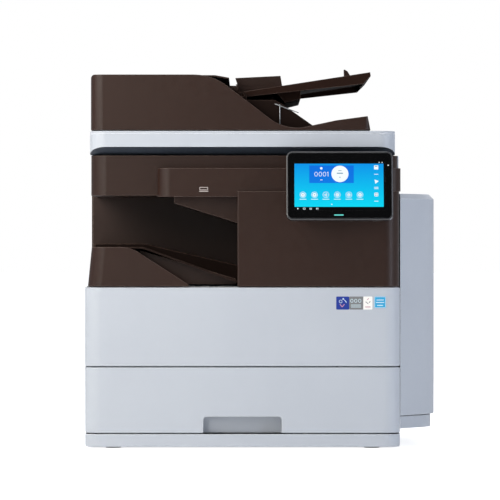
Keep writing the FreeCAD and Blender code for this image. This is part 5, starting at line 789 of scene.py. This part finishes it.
display_blue = lit("display_light_blue", "#08DAF8", "#0890EC")
display_deep = lit("display_light_deep_blue", "#0C86EC", "#0A6FE4")
display_white = lit("display_light_white", "#EFFBFF", "#F6FCFF", 1.05)
display_teal = lit("indicator_light_teal", "#6FE6DC", "#6FE6DC", 0.9)
display_grey = lit("display_light_grey_blue", "#5E9FC0", "#6FA9C4", 0.8)
print("display finishes ready")

# %% [markdown]
# The screen leans back on its hinge. Its face could be found by measuring the CAD mesh, but the
# hinge's own place, the lean and two lengths of the case say the same, and follow it if it moves.
# The field and the darker panel on it are laid on each other like cut paper, a few hundredths of a
# millimetre apart, so that no two faces share a plane.

# %% Field and panel
LEAN = 14  # degrees
FACE_AHEAD, FACE_BELOW = 18 * MM, 98 * MM  # the case's front and lower edge, from its hinge
GLASS_LIFT, LEAF = 0.26, 0.05  # the glass's front, from the case's, and the plates' thickness

hinge = next(joint for joint in frame["joints"] if joint["name"] == "tablet_tilt")
pivot = Vector((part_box("tablet_housing")[0].x, *hinge["pos_m"][1:]))
lean_turn = Matrix.Rotation(math.radians(-LEAN), 3, "X")
SCREEN = face_matrix(pivot + lean_turn @ Vector((0, -FACE_AHEAD, -FACE_BELOW)), LEAN)

field = bmesh.new()
stamp(field, rectangle(158.6, 79.5), 93.9, 63.4, GLASS_LIFT, LEAF)
finish_piece(field, "display_field", SCREEN, "tablet", display_blue)

panel = bmesh.new()
stamp(panel, rectangle(79.4, 32.4), 80.6, 83.6, GLASS_LIFT + LEAF, LEAF)
finish_piece(panel, "display_panel", SCREEN, "tablet", display_deep)

# %% [markdown]
# The marks are all generic: a copy counter and a start button on the panel, round icons over short
# bars that stand for their captions, a column of tools at the right, and small signs in the corners.
# A text object could set the counter, but a font brings its own shapes. Ovals and bars are plain.

# %% Marks on the screen
MARK = GLASS_LIFT + 2 * LEAF
BUTTON_X = 95.6
DIGIT_XS, DIGIT_Y, LAST_DIGIT_X = (53.0, 60.6, 68.0), 83.8, 74.4
ICON_XS, ICON_Y = (29.6, 50.2, 70.4, 90.8, 111.2, 131.1), 45.6
ICON_SIDES = (CURVE_SIDES, CURVE_SIDES, 3, 5, 4, 6)
TOOL_X = 160.2
SIGN_Y = 20.4
marks = bmesh.new()


def mark(shape, x, y, turn=0.0, lift=MARK):
    """Adds one white mark, on the picture or, with another lift, on the bare glass."""
    stamp(marks, shape, x, y, lift, LEAF, turn)


# the start button, the counter's digits, and a dot and a dash over and under them
mark(disc(15.2), BUTTON_X, 84.2)
for x in DIGIT_XS:
    mark(hollow(disc(2.9, 1.45), 0.8), x, DIGIT_Y)
mark(rectangle(1.0, 8.4), LAST_DIGIT_X, DIGIT_Y)
mark(rectangle(2.2, 0.9), LAST_DIGIT_X - 0.9, 87.0, 35)
mark(disc(2.2), 62.4, 94.6)
mark(rectangle(4.4, 1.0, 0.4), 62.4, 73.2)
# the icons with their captions
for x, sides in zip(ICON_XS, ICON_SIDES):
    mark(hollow(disc(5.6), 0.7), x, ICON_Y + 0.2)
    mark(disc(3.6, 1.0, sides), x, ICON_Y, 90)
    mark(rectangle(12.0, 1.0, 0.4), x, ICON_Y - 8.0)
# the tools: two squares, a triangle and their captions
for y, size in ((96.2, 7.6), (46.2, 6.8)):
    mark(rectangle(size, size, 1.2), TOOL_X, y)
mark(disc(4.6, 1.0, 3), TOOL_X, 70.3, 40)
for y in (83.6, 59.6, 57.0, 34.0):
    mark(rectangle(7.4, 1.0, 0.4), TOOL_X, y)
# the page dot, the signs below the picture and the two dots above it
mark(disc(1.0), 80.9, 28.2)
mark(disc(2.0, 1.0, 3), 20.4, SIGN_Y, 150, GLASS_LIFT)
mark(hollow(rectangle(4.4, 3.2, 0.6), 0.7), 31.8, SIGN_Y, 0, GLASS_LIFT)
mark(hollow(rectangle(4.0, 3.0, 0.6), 0.7), 43.2, SIGN_Y - 0.2, 0, GLASS_LIFT)
for x in (53.8, 56.2):
    mark(rectangle(1.2, 3.2), x, SIGN_Y, 0, GLASS_LIFT)
for x in (165.6, 170.8):
    mark(disc(0.9), x, 105.4, 0, GLASS_LIFT)
finish_piece(marks, "display_marks", SCREEN, "tablet", display_white)

# %% [markdown]
# The white marks carry finer ones in grey-blue: a word and an arrow on the start button, and a small
# figure in each icon. Holes in the white plates would show the blue below them, but grey-blue prints
# more softly, so these are one more layer.

# %% Ink on the marks
INK = MARK + LEAF
ink = bmesh.new()
stamp(ink, rectangle(11.0, 1.8, 0.5), BUTTON_X, 85.4, INK, LEAF)
stamp(ink, rectangle(6.0, 1.0, 0.4), BUTTON_X, 90.2, INK, LEAF)
stamp(ink, disc(1.5, 1.0, 3), BUTTON_X, 78.0, INK, LEAF, -30)
for x in ICON_XS:
    stamp(ink, rectangle(2.2, 1.4, 0.3), x, ICON_Y, INK, LEAF)
for x in (TOOL_X - 1.4, TOOL_X + 1.4):
    for y in (44.8, 47.6):
        stamp(ink, rectangle(1.6, 1.6), x, y, INK, LEAF)
stamp(ink, rectangle(5.0, 1.2), TOOL_X, 98.2, INK, LEAF)
finish_piece(ink, "display_ink", SCREEN, "tablet", display_grey)

# %% [markdown]
# Around the picture sit the real parts of the screen unit: a teal status light under the glass, and
# the small camera at the right, whose point of reflected light is a painted glint, a glowing white
# dot. A hole in the glass with a lamp behind it would be truer, but from outside both are bright
# spots, so they are thin plates on the glass.

# %% Status light and painted glint on the camera lens
RIM_LIFT = 0.2  # sunk a little into the glass, which they stand out of
LIGHT_THICKNESS, LENS_GLINT_THICKNESS = 0.1, 0.12

status = bmesh.new()
stamp(status, rectangle(17.0, 2.2, 0.9), 93.4, 8.6, RIM_LIFT, LIGHT_THICKNESS)
finish_piece(status, "status_light", SCREEN, "tablet", display_teal)

# Painted glint: the lens is a glowing white dot.
lens = bmesh.new()
stamp(lens, disc(1.1), 181.6, 100.2, RIM_LIFT, LENS_GLINT_THICKNESS)
finish_piece(lens, "camera_lens_painted_glint", SCREEN, "tablet", display_white)

# %% [markdown]
# A satin metal trim runs between the glass and the case. It is die-cast zinc alloy, brushed along its
# length and plated dark. A tube swept round the glass could make it, but it is a flat rim, so it is
# a rounded rectangle whose middle an inset takes out. The brushing is a noise stretched along X.

# %% Screen trim
BRUSH = 0.6 * MM
TRIM_LIFT, TRIM_THICKNESS, TRIM_WIDTH = -0.1, 0.3, 1.2

trim_finish, tree = new_material("zinc_alloy_dark_satin")
place = add_node(tree, "TexCoord").outputs["Object"]
drawn = add_node(tree, "Mapping", {"Scale": (0.05, 1.0, 1.0)}, {"Vector": place})
brush = add_node(
    tree, "TexNoise", {"Scale": 1 / BRUSH, "Detail": 3.0}, {"Vector": drawn.outputs[0]}
)
satin = add_node(tree, "MapRange", {"To Min": 0.22, "To Max": 0.4}, {"Value": brush.outputs["Fac"]})
bump = add_node(
    tree, "Bump", {"Strength": 0.1, "Distance": 0.03 * MM}, {"Height": brush.outputs["Fac"]}
)
alloy = add_node(
    tree,
    "BsdfPrincipled",
    {"Metallic": 1.0, "Base Color": linear("#85878B")},
    {"Roughness": satin.outputs[0], "Normal": bump.outputs[0]},
)
finish_material(tree, alloy.outputs[0])

trim = bmesh.new()
outline = hollow(rectangle(187.0, 121.6, 9.4), TRIM_WIDTH)
stamp(trim, outline, 95.0, 63.4, TRIM_LIFT, TRIM_THICKNESS)
finish_piece(trim, "screen_trim", SCREEN, "tablet", trim_finish)

# %% [markdown]
# ## Printed labels
# A label is coated paper, so it is smoother than the plastic under it, with a faint fibre structure.
# One flat colour would look like a hole in the door. A fine noise varies the colour, the gloss and
# the height together, as fibres under a coating do.

# %% Coated paper
FIBRE = 1.6 * MM
FADE = 0.88  # the darkest fibres, as a share of the colour


def printed(name, colour, roughness=0.38):
    """Coated paper or ink in one colour, with the paper's faint fibres."""
    material, tree = new_material(name)
    place = add_node(tree, "TexCoord").outputs["Object"]
    fibre = add_node(tree, "TexNoise", {"Scale": 1 / FIBRE, "Detail": 4.0}, {"Vector": place})
    body = linear(colour)
    faded = [FADE * part for part in body[:3]] + [1.0]
    tone = add_node(tree, "Mix", {"data_type": "RGBA", 6: body, 7: faded}, {0: fibre.outputs["Fac"]})
    rough = add_node(
        tree,
        "MapRange",
        {"To Min": roughness - 0.06, "To Max": roughness + 0.06},
        {"Value": fibre.outputs["Fac"]},
    )
    bump = add_node(
        tree, "Bump", {"Strength": 0.1, "Distance": 0.03 * MM}, {"Height": fibre.outputs["Fac"]}
    )
    shader = add_node(
        tree,
        "BsdfPrincipled",
        links={"Base Color": tone.outputs[2], "Roughness": rough.outputs[0], "Normal": bump.outputs[0]},
    )
    finish_material(tree, shader.outputs[0])
    return material


print("fibres", FIBRE, "m long")

# %% [markdown]
# Three joined patches and one apart are stuck to the door's right end. Their print is left generic:
# plain colours with simple marks. The places are counted from the middle of the machine and from the
# ground, as the door is, so the face's matrix only needs the door's front.

# %% Labels on the door
DOOR = face_matrix((0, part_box("front_door")[0].y, 0))
LABEL = 0.12  # the paper's thickness
LABEL_CORNER = 1.6
LABEL_Z = 260.6
BLUE_X, GREY_X, WHITE_X, CYAN_X = 179.2, 203.4, 224.2, 246.2
CYAN_Z = LABEL_Z + 1.4

# name, colour, middle, width and height
PATCHES = [
    ("label_blue", "#0B2F8E", (BLUE_X, LABEL_Z), (23.2, 23.4)),
    ("label_grey", "#77797B", (GREY_X, LABEL_Z), (25.2, 23.4)),
    ("label_white", "#EFEEEA", (WHITE_X, LABEL_Z), (16.4, 23.4)),
    ("label_cyan", "#1C9FD2", (CYAN_X, CYAN_Z), (20.8, 20.8)),
]
for name, colour, (x, z), size in PATCHES:
    patch = bmesh.new()
    stamp(patch, rectangle(*size, LABEL_CORNER), x, z, 0, LABEL)
    finish_piece(patch, name, DOOR, "toner_door", printed(name + "_coated_paper", colour))

# %% [markdown]
# The marks on the labels come in three inks, and each ink is one piece. They are a ring and a dot,
# ovals in a row, bars for lines of print, and slanting strokes. Real lettering could be set with text
# objects, but it would belong to somebody. These marks only give the eye as much to see.

# %% Marks on the labels
PRINT = 0.05  # the ink's thickness


def label_print(name, finish, marks):
    """One ink: each mark is a flat shape, its place on the door and its turn in degrees."""
    group = bmesh.new()
    for shape, x, z, turn in marks:
        stamp(group, shape, x, z, LABEL, PRINT, turn)
    finish_piece(group, name, DOOR, "toner_door", finish)


label_print(
    "label_pale_print",
    printed("label_ink_pale", "#C9DEE6"),
    [
        (hollow(disc(3.0), 0.8), BLUE_X - 3.6, 263.4, 0),
        (disc(1.5), BLUE_X + 1.0, 268.0, 0),
        (rectangle(6.4, 1.3, 0.5), BLUE_X + 5.0, 264.0, -50),
        *[(hollow(disc(2.7, 1.25), 0.9), x, 264.6, 0) for x in (195.6, 202.6, 209.6)],
        *[(rectangle(18.0, 1.2, 0.4), GREY_X - 0.4, z, 0) for z in (257.0, 253.6)],
        (hollow(rectangle(20.0, 20.0, 1.5), 0.8), CYAN_X, CYAN_Z, 0),
        *[
            (rectangle(width, 1.6, 0.6), CYAN_X, z, 0)
            for z, width in ((266.0, 13.0), (261.6, 15.0), (256.4, 11.0))
        ],
    ],
)
label_print(
    "label_warm_print",
    printed("label_ink_rose", "#C08A9C"),
    [
        (rectangle(6.4, 1.4, 0.5), BLUE_X - 3.0, 256.2, -52),
        (rectangle(6.4, 1.4, 0.5), BLUE_X + 1.2, 256.2, 52),
        (rectangle(9.8, 1.6, 0.5), WHITE_X, 253.6, 0),
        (rectangle(4.4, 1.2, 0.4), WHITE_X + 0.4, 267.6, 45),
    ],
)
label_print(
    "label_dark_print",
    printed("label_ink_grey", "#6E7275"),
    [
        (rectangle(6.4, 1.2, 0.4), WHITE_X - 1.6, 261.0, -40),
        (rectangle(4.0, 1.2, 0.4), WHITE_X + 3.2, 262.4, 50),
    ],
)

# %% [markdown]
# The control panel carries one small printed sign, a plug-in slot drawn as an outline over a bar. It
# is pad-printed in pale grey straight on the grained plastic. A change of colour in the plastic's own
# material would need a mask, and the sign is too sharp for that, so it is a plate of ink.

# %% Sign on the control panel
PANEL_FRONT = -0.287  # the housing's front at the left of the screen
PANEL = face_matrix((0, PANEL_FRONT, 0))
SLOT_X = -69.4
PAD_PRINT = 0.08

sign = bmesh.new()
stamp(sign, hollow(rectangle(15.4, 5.6, 0.8), 1.3), SLOT_X, 465.4, 0, PAD_PRINT)
stamp(sign, rectangle(16.4, 1.8, 0.4), SLOT_X, 460.6, 0, PAD_PRINT)
finish_piece(sign, "slot_sign", PANEL, "machine", printed("pad_print_pale_grey", "#A79E9B", 0.5))

# %% [markdown]
# ## Pieces in the hollows
# Behind the low wall of the paper bay a lip of the same brown plastic falls to the right, and hides
# the works below the output tray. A box with one edge moved would do, but the outline is what counts,
# so its four corners are counted from the tray's box, drawn flat and given their thickness.

# %% Lip inside the paper bay
tray_low, tray_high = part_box("output_tray")
LIP_FRONT, LIP_THICKNESS = tray_low.y + 31.5 * MM, 2.0
LIP_LEFT, LIP_RIGHT = tray_low.x / MM + 83.5, tray_high.x / MM - 2.6
LIP_LOW = tray_low.z / MM + 3.5
LIP_TOP_LEFT, LIP_TOP_RIGHT = LIP_LOW + 60.5, LIP_LOW + 10.0
LIP_CORNERS = (
    (LIP_LEFT, LIP_LOW),
    (LIP_RIGHT, LIP_LOW),
    (LIP_RIGHT, LIP_TOP_RIGHT),
    (LIP_LEFT, LIP_TOP_LEFT),
)
outline = bmesh.new()
outline.faces.new([outline.verts.new((x, z, 0)) for x, z in LIP_CORNERS])
lip = bmesh.new()
stamp(lip, outline, 0, 0, 0, LIP_THICKNESS)
LIP = face_matrix((0, LIP_FRONT + LIP_THICKNESS * MM, 0))
finish_piece(lip, "bay_inner_lip", LIP, "machine", finishes["brown_plastic"])

# %% [markdown]
# Under the document tray a folding stop of spring wire keeps the sheets from curling up: an upright
# and an arm that crosses it. Wire is drawn through a die, so it is round, bright and smooth. A bevelled
# curve would be a usual way to make it. A long thin cylinder is as good for a straight piece, and a
# bevel can round its ends.

# %% Wire stop
WIRE_RADIUS, WIRE_SIDES = 0.8 * MM, 12
WIRE_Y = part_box("feeder_frame")[0].y - 2.5 * MM
ARM_Y = WIRE_Y - 2 * WIRE_RADIUS  # the arm lies in front of the upright


def wire(name, start, end, body):
    """A straight round wire from start to end, its ends rounded."""
    start, end = Vector(start), Vector(end)
    rod = bmesh.new()
    bmesh.ops.create_cone(
        rod,
        cap_ends=True,
        segments=WIRE_SIDES,
        radius1=WIRE_RADIUS,
        radius2=WIRE_RADIUS,
        depth=(end - start).length,
    )
    rims = [e for e in rod.edges if abs(e.verts[0].co.z - e.verts[1].co.z) < WIRE_RADIUS]
    bmesh.ops.bevel(
        rod, geom=rims, offset=WIRE_RADIUS / 2, segments=2, profile=0.5, affect="EDGES", material=-1
    )
    for side in rod.faces:
        side.smooth = len(side.verts) == 4
    turn = (end - start).to_track_quat("Z", "Y").to_matrix().to_4x4()
    place = Matrix.Translation((start + end) / 2) @ turn
    finish_piece(rod, name, place, body, finishes["steel_sheet"])


wire("wire_stop_upright", (0.067, WIRE_Y, 0.582), (0.067, WIRE_Y, 0.6175), "feeder")
wire("wire_stop_arm", (0.058, ARM_Y, 0.618), (0.101, ARM_Y, 0.602), "feeder")
